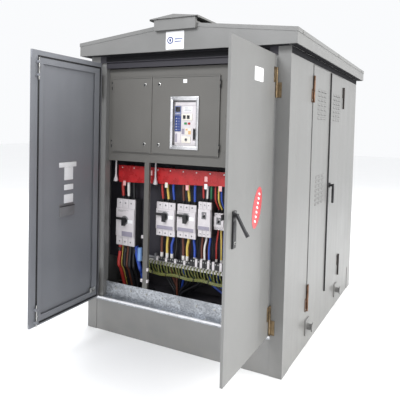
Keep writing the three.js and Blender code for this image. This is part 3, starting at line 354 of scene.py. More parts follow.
CABLE = {
    "red": plastic("cable_red", (0.42, 0.035, 0.03), 0.36),
    "yellow": plastic("cable_yellow", (0.62, 0.46, 0.10), 0.36),
    "blue": plastic("cable_blue", (0.025, 0.07, 0.38), 0.36),
    "light_blue": plastic("cable_light_blue", (0.20, 0.36, 0.68), 0.36),
    "black": plastic("cable_black", (0.012, 0.012, 0.014), 0.42),
    "brown": plastic("cable_brown", (0.12, 0.035, 0.02), 0.4),
    "white": plastic("cable_white", (0.70, 0.68, 0.66), 0.4),
    "green": plastic("cable_green", (0.02, 0.16, 0.07), 0.4),
}
EARTH_WIRE = striped_sleeve("earth_wire", (0.23, 0.20, 0.035), (0.035, 0.085, 0.03), 0.030)

CAD_FINISHES = {
    ZINC: ["mv_partition"],
    SILL_ZINC: ["front_sill"],
    BRIGHT_ZINC: ["upper_slide_bolt", "lower_slide_bolt"],
    # near-black: painted shade on the headers under the eaves and on the breaker plate; the floor plate and
    # partition share it
    DARK_PAINT_AND_SHADE: ["front_header", "rear_header", "floor_plate", "breaker_plate", "lv_partition"],
    INNER_PAINT: ["inner_frame", "meter_compartment_door", "main_breaker_door"],
    WHITE: ["main_breaker"] + [f"outgoing_breaker_{number}" for number in range(1, 6)],
    BLACK: ["handle_plate", "latch_spindle", "swing_lever", "side_handle", "rear_handle", "charging_handle"]
    + [f"breaker_handle_{number}" for number in range(1, 6)],
    RED: ["busbar_cover"],
    RED_BUTTON: ["off_button"],
    GREEN_BUTTON: ["on_button"],
    TIN: ["earth_bar"],
    CORE_STEEL: ["core_and_windings"],
    TANK_PAINT: ["transformer_tank", "transformer_cover"],
    CABINET_PAINT: ["mv_switchgear"],
    BRASS: [name for name in NODES if name.endswith("_hinge")],
}


def dress_cad_nodes():
    for piece in NODES.values():
        piece.material_slots[0].material = PAINT
    for finish, names in CAD_FINISHES.items():
        for name in names:
            NODES[name].material_slots[0].material = finish


# ------------------------------------------------------------------ mesh building

SMOOTH_LIMIT = math.radians(38)
STILL = Matrix.Identity(4)
FRONTWARD, REARWARD, UPWARD = (0, -1, 0), (0, 1, 0), (0, 0, 1)


def around(centre, half):
    return centre - half, centre + half


def spaced(start, pitch, count):
    return [start + pitch * k for k in range(count)]


def ring_angles(sides):
    return [2 * math.pi * k / sides for k in range(sides)]


def skin_rings(mesh, rings):
    """Joins each ring of points to the next one and closes both ends."""
    for ring, following in zip(rings, rings[1:]):
        for k in range(len(ring)):
            after = (k + 1) % len(ring)
            mesh.faces.new((ring[k], ring[after], following[after], following[k]))
    mesh.faces.new(reversed(rings[0]))
    mesh.faces.new(rings[-1])


class Piece:
    """One mesh of closed shapes, made in a frame of its own and placed in the model's frame."""

    def __init__(self, name, place=STILL):
        self.name = name
        self.place = place
        self.points = []
        self.faces = []
        self.slots = []
        self.finishes = []

    def take(self, mesh, finish):
        if finish not in self.finishes:
            self.finishes.append(finish)
        start = len(self.points)
        mesh.verts.index_update()
        self.points += [tuple(self.place @ vertex.co) for vertex in mesh.verts]
        self.faces += [[start + vertex.index for vertex in face.verts] for face in mesh.faces]
        self.slots += [self.finishes.index(finish)] * len(mesh.faces)
        mesh.free()

    def block(self, x, y, z, finish, edge=0.0012):
        """A box with rounded edges, from (low, high) pairs."""
        spans = [sorted(pair) for pair in (x, y, z)]
        size = [high - low for low, high in spans]
        middle = [(high + low) / 2 for low, high in spans]
        mesh = bmesh.new()
        bmesh.ops.create_cube(mesh, size=1, matrix=Matrix.Translation(middle) @ Matrix.Diagonal((*size, 1)))
        edge = min(edge, 0.3 * min(size))
        bmesh.ops.bevel(mesh, geom=mesh.edges[:], offset=edge, segments=2, profile=0.5, affect="EDGES")
        self.take(mesh, finish)

    def lathe(self, foot, direction, profile, finish, sides=20):
        """A turned solid: (distance along, radius) pairs from the foot outwards."""
        mesh = bmesh.new()
        skin_rings(mesh, [
            [mesh.verts.new((radius * math.cos(a), radius * math.sin(a), along)) for a in ring_angles(sides)]
            for along, radius in profile
        ])
        turn = Vector(direction).to_track_quat("Z", "Y").to_matrix().to_4x4()
        mesh.transform(Matrix.Translation(foot) @ turn)
        self.take(mesh, finish)

    def rod(self, foot, direction, length, radius, finish, sides=20, edge=0.0008):
        edge = min(edge, length / 3, radius / 3)
        profile = [(0, radius - edge), (edge, radius), (length - edge, radius), (length, radius - edge)]
        self.lathe(foot, direction, profile, finish, sides)

    def bolt(self, foot, direction, size, finish):
        """Washer, hexagon head and the end of the thread."""
        self.rod(foot, direction, size * 0.16, size * 1.05, finish, 20, size * 0.04)
        along = Vector(direction).normalized()
        head = Vector(foot) + along * size * 0.16
        self.lathe(head, direction, [
            (0, size * 0.9), (size * 0.5, size * 0.9), (size * 0.62, size * 0.78),
        ], finish, 6)
        self.rod(head + along * size * 0.6, direction, size * 0.3, size * 0.45, finish, 12, size * 0.06)

    def prism(self, outline, axis, low, high, finish, edge=0.0):
        """An outline extruded along one axis; its points are the two other coordinates."""
        def corner(u, v, along):
            return {"x": (along, u, v), "y": (u, along, v), "z": (u, v, along)}[axis]
        mesh = bmesh.new()
        near = [mesh.verts.new(corner(u, v, low)) for u, v in outline]
        far = [mesh.verts.new(corner(u, v, high)) for u, v in outline]
        count = len(outline)
        mesh.faces.new(near)
        mesh.faces.new(list(reversed(far)))
        for k in range(count):
            after = (k + 1) % count
            mesh.faces.new((near[k], far[k], far[after], near[after]))
        bmesh.ops.recalc_face_normals(mesh, faces=mesh.faces[:])
        if edge > 0:
            rims = [e for e in mesh.edges if (e.verts[0] in near) == (e.verts[1] in near)]
            bmesh.ops.bevel(mesh, geom=rims, offset=edge, segments=2, profile=0.5, affect="EDGES")
        self.take(mesh, finish)

    def plate(self, x, z, y, finish, radius, edge=0.0003):
        """A thin plate with round corners, seen from the front."""
        self.prism(rounded_outline(x, z, radius), "y", *y, finish, edge)

    def screw(self, x, face, z, radius, finish, proud=0.001, sides=12, way=FRONTWARD):
        """A round head or boss that stands proud of a face."""
        self.rod((x, face, z), way, proud, radius, finish, sides)

    def tube(self, points, radius, finish, sides=10, steps=6):
        """A round wire along a smooth curve through the points, with closed ends."""
        path = smooth_path(points, steps)
        mesh = bmesh.new()
        side = Vector((0.37, 0.21, 0.9))
        rings = []
        for index, point in enumerate(path):
            ahead = (path[min(index + 1, len(path) - 1)] - path[max(index - 1, 0)]).normalized()
            side = (side - ahead * side.dot(ahead)).normalized()
            other = ahead.cross(side)
            rings.append([
                mesh.verts.new(point + (side * math.cos(a) + other * math.sin(a)) * radius)
                for a in ring_angles(sides)
            ])
        skin_rings(mesh, rings)
        self.take(mesh, finish)

    def to_object(self):
        mesh = bpy.data.meshes.new(self.name)
        mesh.from_pydata(self.points, [], self.faces)
        for finish in self.finishes:
            mesh.materials.append(finish)
        piece = bpy.data.objects.new(self.name, mesh)
        bpy.context.scene.collection.objects.link(piece)
        return piece

    def done(self, slot, body="enclosure", *stands_for):
        """Makes the object, lets it ride on the body and hides the nodes that it stands for."""
        piece = self.to_object()
        mesh = piece.data
        mesh.polygons.foreach_set("material_index", self.slots)
        mesh.polygons.foreach_set("use_smooth", [True] * len(self.faces))
        mesh.set_sharp_from_angle(angle=SMOOTH_LIMIT)
        mesh.update()
        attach(piece, body)
        if stands_for:
            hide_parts(*stands_for)


def smooth_path(points, steps):
    """A Catmull-Rom curve through the points."""
    knots = [Vector(point) for point in points]
    knots = [2 * knots[0] - knots[1]] + knots + [2 * knots[-1] - knots[-2]]
    path = []
    for k in range(1, len(knots) - 2):
        before, start, end, after = knots[k - 1:k + 3]
        for step in range(steps):
            t = step / steps
            path.append(0.5 * (
                2 * start + (end - before) * t + (2 * before - 5 * start + 4 * end - after) * t ** 2
                + (3 * start - before - 3 * end + after) * t ** 3
            ))
    return path + [knots[-2]]


def rounded_outline(u, v, radius, steps=5):
    """The outline of a rectangle with round corners, counter-clockwise."""
    points = []
    for cu, cv, start in (
        (u[1] - radius, v[1] - radius, 0), (u[0] + radius, v[1] - radius, 90),
        (u[0] + radius, v[0] + radius, 180), (u[1] - radius, v[0] + radius, 270),
    ):
        for step in range(steps + 1):
            angle = math.radians(start + 90 * step / steps)
            points.append((cu + radius * math.cos(angle), cv + radius * math.sin(angle)))
    return points


def oval_outline(u, v, half_u, half_v, tilt, steps=40):
    points = []
    cosine, sine = math.cos(tilt), math.sin(tilt)
    for angle in ring_angles(steps):
        a, b = half_u * math.cos(angle), half_v * math.sin(angle)
        points.append((u + a * cosine - b * sine, v + a * sine + b * cosine))
    return points


# ------------------------------------------------------------------ leaves and their frames

LEAF_THICKNESS = 0.016
LEAF_SKIN = 0.002
HINGE_PART = 0.05    # the part of a leaf nearer its pin than this is left out when its planes are measured


def leaf_frame(joint_name, facing=0):
    """The pin is Z, the shut leaf runs along X, and Y points into the enclosure."""
    joint = JOINTS[joint_name]
    shut = -joint["axis"][2] * joint["range_deg"][0]
    x, y = joint["pos_m"][:2]
    return Matrix.Translation((x, y, 0)) @ Matrix.Rotation(math.radians(facing + shut), 4, "Z")


class Leaf:
    """A tray-shaped leaf: its frame, its side (+1 runs along +X) and its planes."""

    def __init__(self, node_name, joint_name, facing, side):
        self.node = node_name
        self.place = leaf_frame(joint_name, facing)
        self.side = side
        self.body = JOINTS[joint_name]["child"]
        back = self.place.inverted()
        points = [back @ vertex.co for vertex in NODES[node_name].data.vertices]
        flat = [point for point in points if abs(point.x) > HINGE_PART]
        self.face = min(point.y for point in flat)
        self.back = self.face + LEAF_THICKNESS
        self.skin_back = self.face + LEAF_SKIN
        self.low = min(point.z for point in flat)
        self.high = max(point.z for point in flat)
        at_skin = [abs(point.x) for point in flat if abs(point.y - self.face) < 1e-4]
        self.reach = max(at_skin)

    def piece(self, name):
        return Piece(name, self.place)

    def x(self, distance):
        """A place at that distance from the pin, along the leaf."""
        return self.side * distance


FRONT_LEFT = Leaf("front_left_leaf", "front_left_door_hinge", 0, 1)
FRONT_RIGHT = Leaf("front_right_leaf", "front_right_door_hinge", 0, -1)
SIDE_FRONT = Leaf("side_front_leaf", "side_front_door_hinge", 90, 1)
SIDE_REAR = Leaf("side_rear_leaf", "side_rear_door_hinge", 90, -1)
REAR_RIGHT = Leaf("rear_right_leaf", "rear_right_door_hinge", 180, 1)
REAR_LEFT = Leaf("rear_left_leaf", "rear_left_door_hinge", 180, -1)

PAINTED_SKY_TINT = (0.222, 0.230, 0.252)


def paint_sky_tint_in_left_leaf():
    """The left leaf's inside carries a cooler grey than its outside, as a painted reflection of the sky."""
    normal = FRONT_LEFT.place.col[1].xyz
    offset = normal.dot(FRONT_LEFT.place @ Vector((0, FRONT_LEFT.face + LEAF_SKIN / 2, 0)))
    lined = coated_metal(
        "leaf_paint_with_painted_sky_tint", PAINT_COLOUR, 0.36, warp=SHEET_WARP, sky_tint_side=(normal, offset, PAINTED_SKY_TINT),
    )
    NODES[FRONT_LEFT.node].material_slots[0].material = lined


SEAL_WIDTH = 0.012
SEAL_DEPTH = 0.0046
SEAL_TOP_DEPTH = 0.0026
SEAL_FROM_HINGE = 0.020
SEAL_FROM_FREE = 0.052
SEAL_FROM_TOP = 0.034
SEAL_FROM_BOTTOM = 0.012
GAP = 0.0003


def leaf_seal(leaf):
    """A black rubber strip all round the leaf's back lips."""
    seal = leaf.piece(leaf.node + "_seal")
    near, far = SEAL_FROM_HINGE, leaf.reach - SEAL_FROM_FREE
    low, high = leaf.low + SEAL_FROM_BOTTOM, leaf.high - SEAL_FROM_TOP
    depth = (leaf.back + GAP, leaf.back + SEAL_DEPTH)
    for start in (near, far - SEAL_WIDTH):
        across = (leaf.x(start), leaf.x(start + SEAL_WIDTH))
        seal.block(across, depth, (low, high - SEAL_WIDTH), RUBBER, 0.002)
    for start, deep in ((low, SEAL_DEPTH), (high - SEAL_WIDTH, SEAL_TOP_DEPTH)):
        depth = (leaf.back + GAP, leaf.back + deep)
        seal.block((leaf.x(near), leaf.x(far)), depth, (start, start + SEAL_WIDTH), RUBBER, 0.001)
    seal.done("black_plastic", leaf.body)


def leaf_stiffener(leaf, heights):
    """Top-hat ribs welded across the inside of the skin."""
    ribs = leaf.piece(leaf.node + "_ribs")
    near, far = leaf.x(0.09), leaf.x(leaf.reach - 0.106)
    for height in heights:
        ribs.prism([
            (leaf.skin_back, height - 0.030), (leaf.skin_back + 0.009, height - 0.016),
            (leaf.skin_back + 0.009, height + 0.016), (leaf.skin_back, height + 0.030),
        ], "x", *sorted((near, far)), PAINT, 0.0008)
    ribs.done("enclosure_paint", leaf.body)


PAPERS = (
    ((0.278, 0.463), (1.358, 1.394)), ((0.314, 0.408), (1.262, 1.3575)),
    ((0.310, 0.408), (1.188, 1.229)), ((0.310, 0.408), (1.091, 1.155)),
)
# across the leaf, from and to over the skin, up, finish, edge radius
POCKET_SHEETS = (
    ((0.304, 0.458), 0.0, 0.001, (0.996, 1.090), GREY, 0.0004),
    ((0.304, 0.458), 0.009, 0.0102, (0.996, 1.070), GREY, 0.0004),
    ((0.304, 0.3052), 0.0, 0.010, (0.996, 1.072), GREY, 0.0004),
    ((0.4568, 0.4580), 0.0, 0.010, (0.996, 1.072), GREY, 0.0004),
    ((0.304, 0.458), 0.0, 0.010, (0.996, 0.9975), GREY, 0.0004),
    ((0.302, 0.460), 0.008, 0.0112, (1.068, 1.074), BLACK, 0.001),
)


def front_left_details():
    """Papers and their pocket inside the left leaf, and a bracket by its lower hinge."""
    leaf = FRONT_LEFT
    leaf_seal(leaf)
    inside = leaf.skin_back + GAP
    papers = leaf.piece("door_papers")
    for across, up in PAPERS:
        papers.plate(across, up, (inside, inside + 0.0012), PAPER, 0.004)
    papers.done("breaker_plastic", leaf.body)
    pocket = leaf.piece("document_pocket")
    for across, near, far, up, finish, edge in POCKET_SHEETS:
        pocket.block(across, (inside + near, inside + far), up, finish, edge)
    pocket.done("black_plastic", leaf.body)
    bracket = leaf.piece("door_stay_bracket")
    top = leaf.back + 0.003
    bracket.block((0.050, 0.115), (leaf.back + GAP, top), (0.330, 0.372), BRIGHT_ZINC)
    for x in (0.066, 0.098):
        bracket.bolt((x, top, 0.351), REARWARD, 0.006, BRIGHT_ZINC)
    bracket.done("galvanised", leaf.body)


SIGN_TILT = math.radians(-22)
SIGN_CENTRE = (-0.288, 1.192)


def front_right_details():
    """Seal, ribs, rating label, oval sign and latch-rod guides of the right leaf."""
    leaf = FRONT_RIGHT
    leaf_seal(leaf)
    leaf_stiffener(leaf, (0.75, 1.70))
    outside = leaf.face - GAP
    label = leaf.piece("rating_label")
    label.plate((-0.391, -0.244), (1.963, 2.046), (outside - 0.0008, outside), PAPER, 0.005)
    label.done("breaker_plastic", leaf.body)
    sign = leaf.piece("warning_sign")
    oval = oval_outline(*SIGN_CENTRE, 0.070, 0.132, SIGN_TILT)
    sign.prism(oval, "y", outside - 0.001, outside, SIGN_RED, 0.0003)
    for along in spaced(-0.087, 0.029, 7):
        u = SIGN_CENTRE[0] - along * math.sin(SIGN_TILT)
        v = SIGN_CENTRE[1] + along * math.cos(SIGN_TILT)
        dot = oval_outline(u, v, 0.016, 0.007, SIGN_TILT, 16)
        sign.prism(dot, "y", outside - 0.0016, outside - 0.001, PAPER)
    sign.done("breaker_plastic", leaf.body)
    guides = leaf.piece("latch_rod_guides")
    top = leaf.back + 0.004
    for z in (0.60, 1.0, 1.45, 1.90):
        guides.block((leaf.x(0.640), leaf.x(0.665)), (leaf.back + GAP, top), around(z, 0.012), BRIGHT_ZINC)
        guides.bolt((leaf.x(0.6525), top, z), REARWARD, 0.004, BRIGHT_ZINC)
    guides.done("galvanised", leaf.body)


def swing_handle_details():
    """The dished face, lock and screw of the swing handle's plate."""
    leaf = FRONT_RIGHT
    low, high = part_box("handle_plate")
    x = (leaf.place.inverted() @ Vector(JOINTS["spindle_turn"]["pos_m"])).x
    face = leaf.face - GAP - 0.008
    trim = leaf.piece("handle_plate_trim")
    dish = (low.z + 0.002, low.z + 0.150)
    trim.plate(around(x, 0.0205), dish, (face - 0.0022, face - GAP), BLACK, 0.012, 0.0008)
    trim.screw(x, face - 0.0022, low.z + 0.030, 0.0085, BRIGHT_ZINC, 0.004, 20)
    trim.screw(x, face - 0.0062, low.z + 0.030, 0.0055, BLACK, 0.0008, 20)
    trim.screw(x, face - 0.0005, high.z - 0.006, 0.003, BRIGHT_ZINC, 0.0012, 20)
    trim.done("black_plastic", leaf.body)


# ------------------------------------------------------------------ louvres

LOUVRE_WIDTH = 0.076
LOUVRE_PITCH_ACROSS = 0.098
LOUVRE_PITCH_UP = 0.036
LOUVRE_COLUMNS = 3
LOUVRE_ROWS = 7
UPPER_LOUVRES = 1.880
LOWER_LOUVRES = 1.195
HOOD_HEIGHT = 0.019
HOOD_DEPTH = 0.0085
HOOD_SHEET = 0.0012


def louvre_hood(piece, x, face, z, outward):
    """A pressed hood over one slot, closed above and at both ends, open below."""
    across, up = 10, 4
    mesh = bmesh.new()

    def skin(offset):
        rows = []
        for row in range(up + 1):
            share = row / up
            line = []
            for column in range(across + 1):
                place = 2 * column / across - 1
                swell = (1 - abs(place) ** 5) * math.sin(math.pi / 2 * share)
                half = LOUVRE_WIDTH / 2 + 0.003 - offset
                line.append(mesh.verts.new((
                    x + place * half, face + outward * ((HOOD_DEPTH - offset) * swell + 0.0001),
                    z + HOOD_HEIGHT * (0.62 - share) - offset * (1 - share),
                )))
            rows.append(line)
        return rows

    outer, inner = skin(0.0), skin(HOOD_SHEET)
    for row in range(up):
        for column in range(across):
            for rows in (outer, inner):
                lower, upper = rows[row], rows[row + 1]
                mesh.faces.new((lower[column], lower[column + 1], upper[column + 1], upper[column]))
    rims = [
        rows[0] + [line[-1] for line in rows[1:]] + rows[-1][-2::-1] + [line[0] for line in rows[-2:0:-1]]
        for rows in (outer, inner)
    ]
    for k in range(len(rims[0])):
        after = (k + 1) % len(rims[0])
        mesh.faces.new((rims[0][k], rims[0][after], rims[1][after], rims[1][k]))
    bmesh.ops.recalc_face_normals(mesh, faces=mesh.faces[:])
    piece.take(mesh, PAINT)


def louvre_mouth_shade(piece, x, face, z, outward):
    """A black block painted as the shade in the opening under a hood."""
    half = LOUVRE_WIDTH / 2 - 0.004
    depth = sorted((face + outward * 0.0002, face + outward * 0.0010))
    piece.block((x - half, x + half), depth, (z - 0.0085, z - 0.0015), RUBBER, 0.0002)


def louvre_hoods(piece, middle, face, heights, outward):
    for height in heights:
        for column in range(LOUVRE_COLUMNS):
            x = middle + (column - (LOUVRE_COLUMNS - 1) / 2) * LOUVRE_PITCH_ACROSS
            for row in range(LOUVRE_ROWS):
                z = height + (row - (LOUVRE_ROWS - 1) / 2) * LOUVRE_PITCH_UP
                louvre_hood(piece, x, face, z, outward)
                louvre_mouth_shade(piece, x, face, z, outward)


def turning_handle_grips():
    """Moulded sleeves over the hanging blades of the side and rear handles."""
    for name, axis in (("side_handle", 0), ("rear_handle", 1)):
        low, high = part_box(name)
        pin = JOINTS[name + "_turn"]["pos_m"]
        across = (pin[1 - axis] - 0.0155, pin[1 - axis] + 0.0155)
        outward = (high[axis] - 0.0175, high[axis] + 0.0022)
        spans = (outward, across) if axis == 0 else (across, outward)
        grip = Piece(name + "_grip")
        grip.block(*spans, (low.z - 0.004, low.z + 0.128), BLACK, 0.006)
        grip.block(*spans, (low.z + 0.1295, low.z + 0.140), BLACK, 0.004)
        grip.done("black_plastic", name)


def side_and_rear_details():
    for leaf, heights in ((SIDE_FRONT, (UPPER_LOUVRES, LOWER_LOUVRES)), (SIDE_REAR, (UPPER_LOUVRES,))):
        hoods = leaf.piece(leaf.node + "_louvres")
        louvre_hoods(hoods, leaf.x(leaf.reach / 2 + 0.004), leaf.face, heights, -1)
        hoods.done("enclosure_paint", leaf.body)
    for leaf in (SIDE_FRONT, SIDE_REAR, REAR_RIGHT, REAR_LEFT):
        leaf_seal(leaf)
        leaf_stiffener(leaf, (0.70, 1.50) if leaf.reach > 0.6 else (0.72,))
        finish = DARK_BRONZE if leaf is SIDE_REAR else BRONZE
        fixed_hinges(leaf, finish)
        moving_hinges(leaf, finish)
    for leaf in (FRONT_LEFT, FRONT_RIGHT):
        moving_hinges(leaf, BRASS)
    turning_handle_grips()
    low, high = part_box("left_louvre_panel")
    turned = Matrix.Translation((low.x, 0, 0)) @ Matrix.Rotation(math.radians(-90), 4, "Z")
    hoods = Piece("left_panel_louvres", turned)
    middle = (low.y + high.y) / 2
    for half in (-0.270, 0.270):
        louvre_hoods(hoods, -(middle + half), 0, (UPPER_LOUVRES, LOWER_LOUVRES), -1)
    hoods.done("enclosure_paint")


KNUCKLE_RADIUS = 0.008
KNUCKLE_LENGTH = 0.100
PLATING = 0.0006
HINGE_PLATE = 0.004
HINGE_TOPS = (0.385, 1.985)


def fixed_hinges(leaf, finish):
    """The fixed halves of a side or rear leaf's two lift-off hinges."""
    hinges = leaf.piece(leaf.node + "_fixed_hinges")
    for top in HINGE_TOPS:
        low = top - KNUCKLE_LENGTH
        hinges.rod((0, 0, low), UPWARD, KNUCKLE_LENGTH, KNUCKLE_RADIUS, finish)
        plate_back = 0.010 - GAP
        hinges.block((0, leaf.x(-0.034)), (plate_back - HINGE_PLATE, plate_back), (low, top), finish)
        for z in (low + 0.018, top - 0.018):
            hinges.rod((leaf.x(-0.022), plate_back - HINGE_PLATE, z), FRONTWARD, 0.0015, 0.005, BRIGHT_ZINC)
        hinges.rod((0, 0, top + KNUCKLE_LENGTH + GAP), UPWARD, 0.003, KNUCKLE_RADIUS * 0.8, finish)
    hinges.done("hinge_brass")


def moving_hinges(leaf, finish):
    """The plated halves that a leaf carries: a sleeve round each knuckle and its strap."""
    hinges = leaf.piece(leaf.node + "_moving_hinges")
    for top in HINGE_TOPS:
        hinges.rod((0, 0, top + 2 * GAP), UPWARD, KNUCKLE_LENGTH - GAP, KNUCKLE_RADIUS + PLATING, finish)
        hinges.block(
            (leaf.x(0.006), leaf.x(0.0386)), (leaf.face - HINGE_PLATE - PLATING, leaf.face - GAP),
            (top + 2 * GAP, top + KNUCKLE_LENGTH + GAP), finish, 0.0008,
        )
        for z in (top + 0.020, top + KNUCKLE_LENGTH - 0.020):
            foot = (leaf.x(0.028), leaf.face - HINGE_PLATE - PLATING, z)
            hinges.rod(foot, FRONTWARD, 0.0014, 0.0045, finish, 14)
    hinges.done("hinge_brass", leaf.body)


# ------------------------------------------------------------------ switchboard front

LOCK_FROM_EDGE = 0.064
LOCK_FROM_END = 0.060
BEZEL_WIDTH = 0.022
BEZEL_PROUD = 0.009
SMALL_DOOR_DEPTH = 0.012    # from a small door's front face to the back of its tray


def quarter_turn_lock(piece, x, face, z):
    piece.lathe((x, face, z), FRONTWARD, [(0, 0.0125), (0.002, 0.0125), (0.0032, 0.0105)], BRIGHT_ZINC, 24)
    piece.lathe((x, face - 0.0032, z), FRONTWARD, [(0, 0.0088), (0.0022, 0.0088), (0.003, 0.0078)], BLACK, 24)
    piece.block(around(x, 0.006), (face - 0.0074, face - 0.0060), around(z, 0.0016), BLACK, 0.0004)


def small_door_furniture(node_name, body, hinge_at_left):
    """The two locks of a small door, shadow strips along its ends, and its fixed hinge parts."""
    low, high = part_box(node_name)
    face = high.y - SMALL_DOOR_DEPTH - GAP
    lock_x = high.x - LOCK_FROM_EDGE if hinge_at_left else low.x + LOCK_FROM_EDGE
    pin_x = low.x + 0.004 if hinge_at_left else high.x - 0.004
    furniture = Piece(node_name + "_furniture")
    for z in (low.z + LOCK_FROM_END + 0.012, high.z - LOCK_FROM_END):
        quarter_turn_lock(furniture, lock_x, face, z)
    for z in (low.z + 0.004, high.z - 0.010):
        strip = (high.y - 0.0138, high.y - 0.0123)
        furniture.block((low.x + 0.014, high.x - 0.014), strip, (z, z + 0.0014), BLACK, 0.0003)
    furniture.done("black_plastic", body)
    fixed = Piece(node_name + "_fixed_hinges")
    for z in (low.z + 0.034, high.z - 0.094):
        for start, length in ((z, 0.0255), (z + 0.0485, 0.012)):
            fixed.rod((pin_x, low.y + 0.004, start), UPWARD, length, 0.0044, BLACK)
    fixed.done("black_plastic")


def door_cutout():
    """The window of the main breaker's door, from the breaker's own size."""
    low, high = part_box("main_breaker")
    return (low.x + 0.014, high.x - 0.014), (low.z + 0.014, high.z - 0.014)


def rectangle(x, z):
    return [(x[0], z[0]), (x[1], z[0]), (x[1], z[1]), (x[0], z[1])]


def breaker_door_details():
    """The bright frame round the window of the main breaker's door, and a blank label."""
    (left, right), (bottom, top) = door_cutout()
    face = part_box("main_breaker_door")[1].y - SMALL_DOOR_DEPTH - GAP
    x_out = (left - BEZEL_WIDTH, right + BEZEL_WIDTH)
    z_out = (bottom - BEZEL_WIDTH - 0.008, top + BEZEL_WIDTH + 0.008)
    outer = rectangle(x_out, z_out)
    inner = rectangle((left - 0.001, right + 0.001), (bottom - 0.001, top + 0.001))
    bezel = Piece("breaker_bezel")
    for k in range(4):
        after = (k + 1) % 4
        outline = [outer[k], outer[after], inner[after], inner[k]]
        bezel.prism(outline, "y", face - BEZEL_PROUD, face, ALUMINIUM, 0.0015)
    for x in (x_out[0] + 0.011, x_out[1] - 0.011):
        for z in (z_out[0] + 0.013, (bottom + top) / 2, z_out[1] - 0.013):
            bezel.screw(x, face - BEZEL_PROUD, z, 0.0032, BRIGHT_ZINC, 0.0012)
    bezel.done("galvanised", "breaker_door")
    label = Piece("breaker_door_label")
    middle = (left + right) / 2
    label.plate((middle - 0.018, middle + 0.015), (2.003, 2.031), (face - 0.001, face), PAPER, 0.002, 0.0002)
    label.done("breaker_plastic", "breaker_door")


def main_breaker_details():
    """The front of the main breaker: grey strips at its edges, those along the top and down the left as
    painted shade of the door's recess, control unit, indicators, racking hole, blank labels.
    """
    (left, right), (bottom, top) = door_cutout()
    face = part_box("main_breaker")[0].y - 0.0001
    front = Piece("main_breaker_front")

    def patch(x0, x1, z0, z1, proud, finish, radius=0.0015):
        front.prism(rounded_outline((x0, x1), (z0, z1), radius, 3), "y", face - proud, face, finish, 0.0004)

    # grey strips along the top and down the left paint the shade of the door's recess; a shorter one runs
    # down the right
    patch(left + 0.002, left + 0.007, bottom + 0.004, top - 0.004, 0.006, GREY)
    patch(right - 0.007, right - 0.002, bottom + 0.140, top - 0.004, 0.006, GREY)
    patch(left + 0.002, right - 0.002, top - 0.010, top - 0.004, 0.006, GREY)
    patch(left + 0.010, right - 0.012, 1.836, 1.860, 0.004, WHITE)
    patch(left + 0.009, left + 0.060, 1.642, 1.762, 0.005, NAVY)
    patch(left + 0.009, left + 0.060, 1.765, 1.832, 0.006, STEEL_BLUE, 0.003)
    patch(left + 0.014, left + 0.055, 1.788, 1.826, 0.0066, WINDOW)
    for x in spaced(left + 0.018, 0.011, 4):
        front.screw(x, face - 0.005, 1.776, 0.0035, WHITE, 0.002, 16)
    for z in spaced(1.655, 0.021, 5):
        front.screw(left + 0.022, face - 0.004, z, 0.0042, WHITE, 0.002, 16)
        bar = (left + 0.032, left + 0.054)
        front.block(bar, (face - 0.0058, face - 0.004), around(z, 0.002), STEEL_BLUE, 0.0004)
    patch(left + 0.010, left + 0.058, 1.552, 1.634, 0.003, WHITE)
    patch(left + 0.014, left + 0.030, 1.560, 1.626, 0.0036, LAVENDER)
    patch(-0.014, 0.076, 1.726, 1.774, 0.004, IVORY, 0.003)
    for x in (-0.004, 0.030):
        patch(x, x + 0.024, 1.736, 1.764, 0.0046, WINDOW, 0.002)
    patch(0.018, 0.068, 1.618, 1.668, 0.003, IVORY, 0.002)
    patch(0.044, 0.066, 1.622, 1.648, 0.0042, AMBER, 0.002)
    patch(0.022, 0.038, 1.650, 1.662, 0.0042, AMBER, 0.002)
    patch(-0.014, 0.008, 1.622, 1.662, 0.003, LAVENDER, 0.002)
    patch(-0.012, 0.064, 1.556, 1.606, 0.004, IVORY, 0.003)
    front.screw(0.026, face - 0.003, 1.581, 0.012, GREY, 0.003, 24)
    front.screw(0.026, face - 0.0055, 1.581, 0.006, WINDOW, 0.001, 6)
    patch(0.000, 0.074, 1.792, 1.828, 0.002, PAPER)
    for k, z in enumerate(spaced(1.798, 0.010, 3)):
        front.block((0.006, 0.066 - 0.014 * k), (face - 0.0024, face - 0.0015), (z, z + 0.003), GREY, 0.0002)
    front.done("breaker_plastic")


# ------------------------------------------------------------------ outgoing breakers

POLE_SHARES = (0.20, 0.5, 0.80)
SHOULDER = 0.010
COVER_DEPTH = 0.016
ROTARY = (1, 2, 3)
BAND_FROM = {1: 0.34, 2: 0.06, 3: 0.06, 4: 0.06}    # where the grey band starts, as a share of the width


def toggle_surround(body, number, low, high, face, shoulder, raised):
    """The raised front of a toggle breaker, in four parts round its slot, with a grey rim."""
    pivot = Vector(JOINTS[f"breaker_{number}_toggle"]["pos_m"])
    slot, gap = around(pivot.x, 0.008), around(pivot.z, 0.017)
    inner = (slot[0] - 0.002, slot[1] + 0.002)
    for x, z in (
        ((low.x + 0.002, slot[0]), raised), ((slot[1], high.x - 0.002), raised),
        (inner, (raised[0], gap[0])), (inner, (gap[1], raised[1])),
    ):
        body.block(x, (face, shoulder + 0.004), z, WHITE, 0.0015)
    rim = (face - 0.0015, face)
    tall = (gap[0] - 0.010, gap[1] + 0.010)
    for x in ((slot[0] - 0.012, slot[0] - 0.001), (slot[1] + 0.001, slot[1] + 0.012)):
        body.block(x, rim, tall, GREY)
    for z in (gap[0] - 0.010, gap[1] + 0.001):
        body.block((slot[0] - 0.003, slot[1] + 0.003), rim, (z, z + 0.009), GREY)
    body.block(slot, (shoulder + 0.0005, shoulder + 0.003), gap, BLACK, 0.0005)


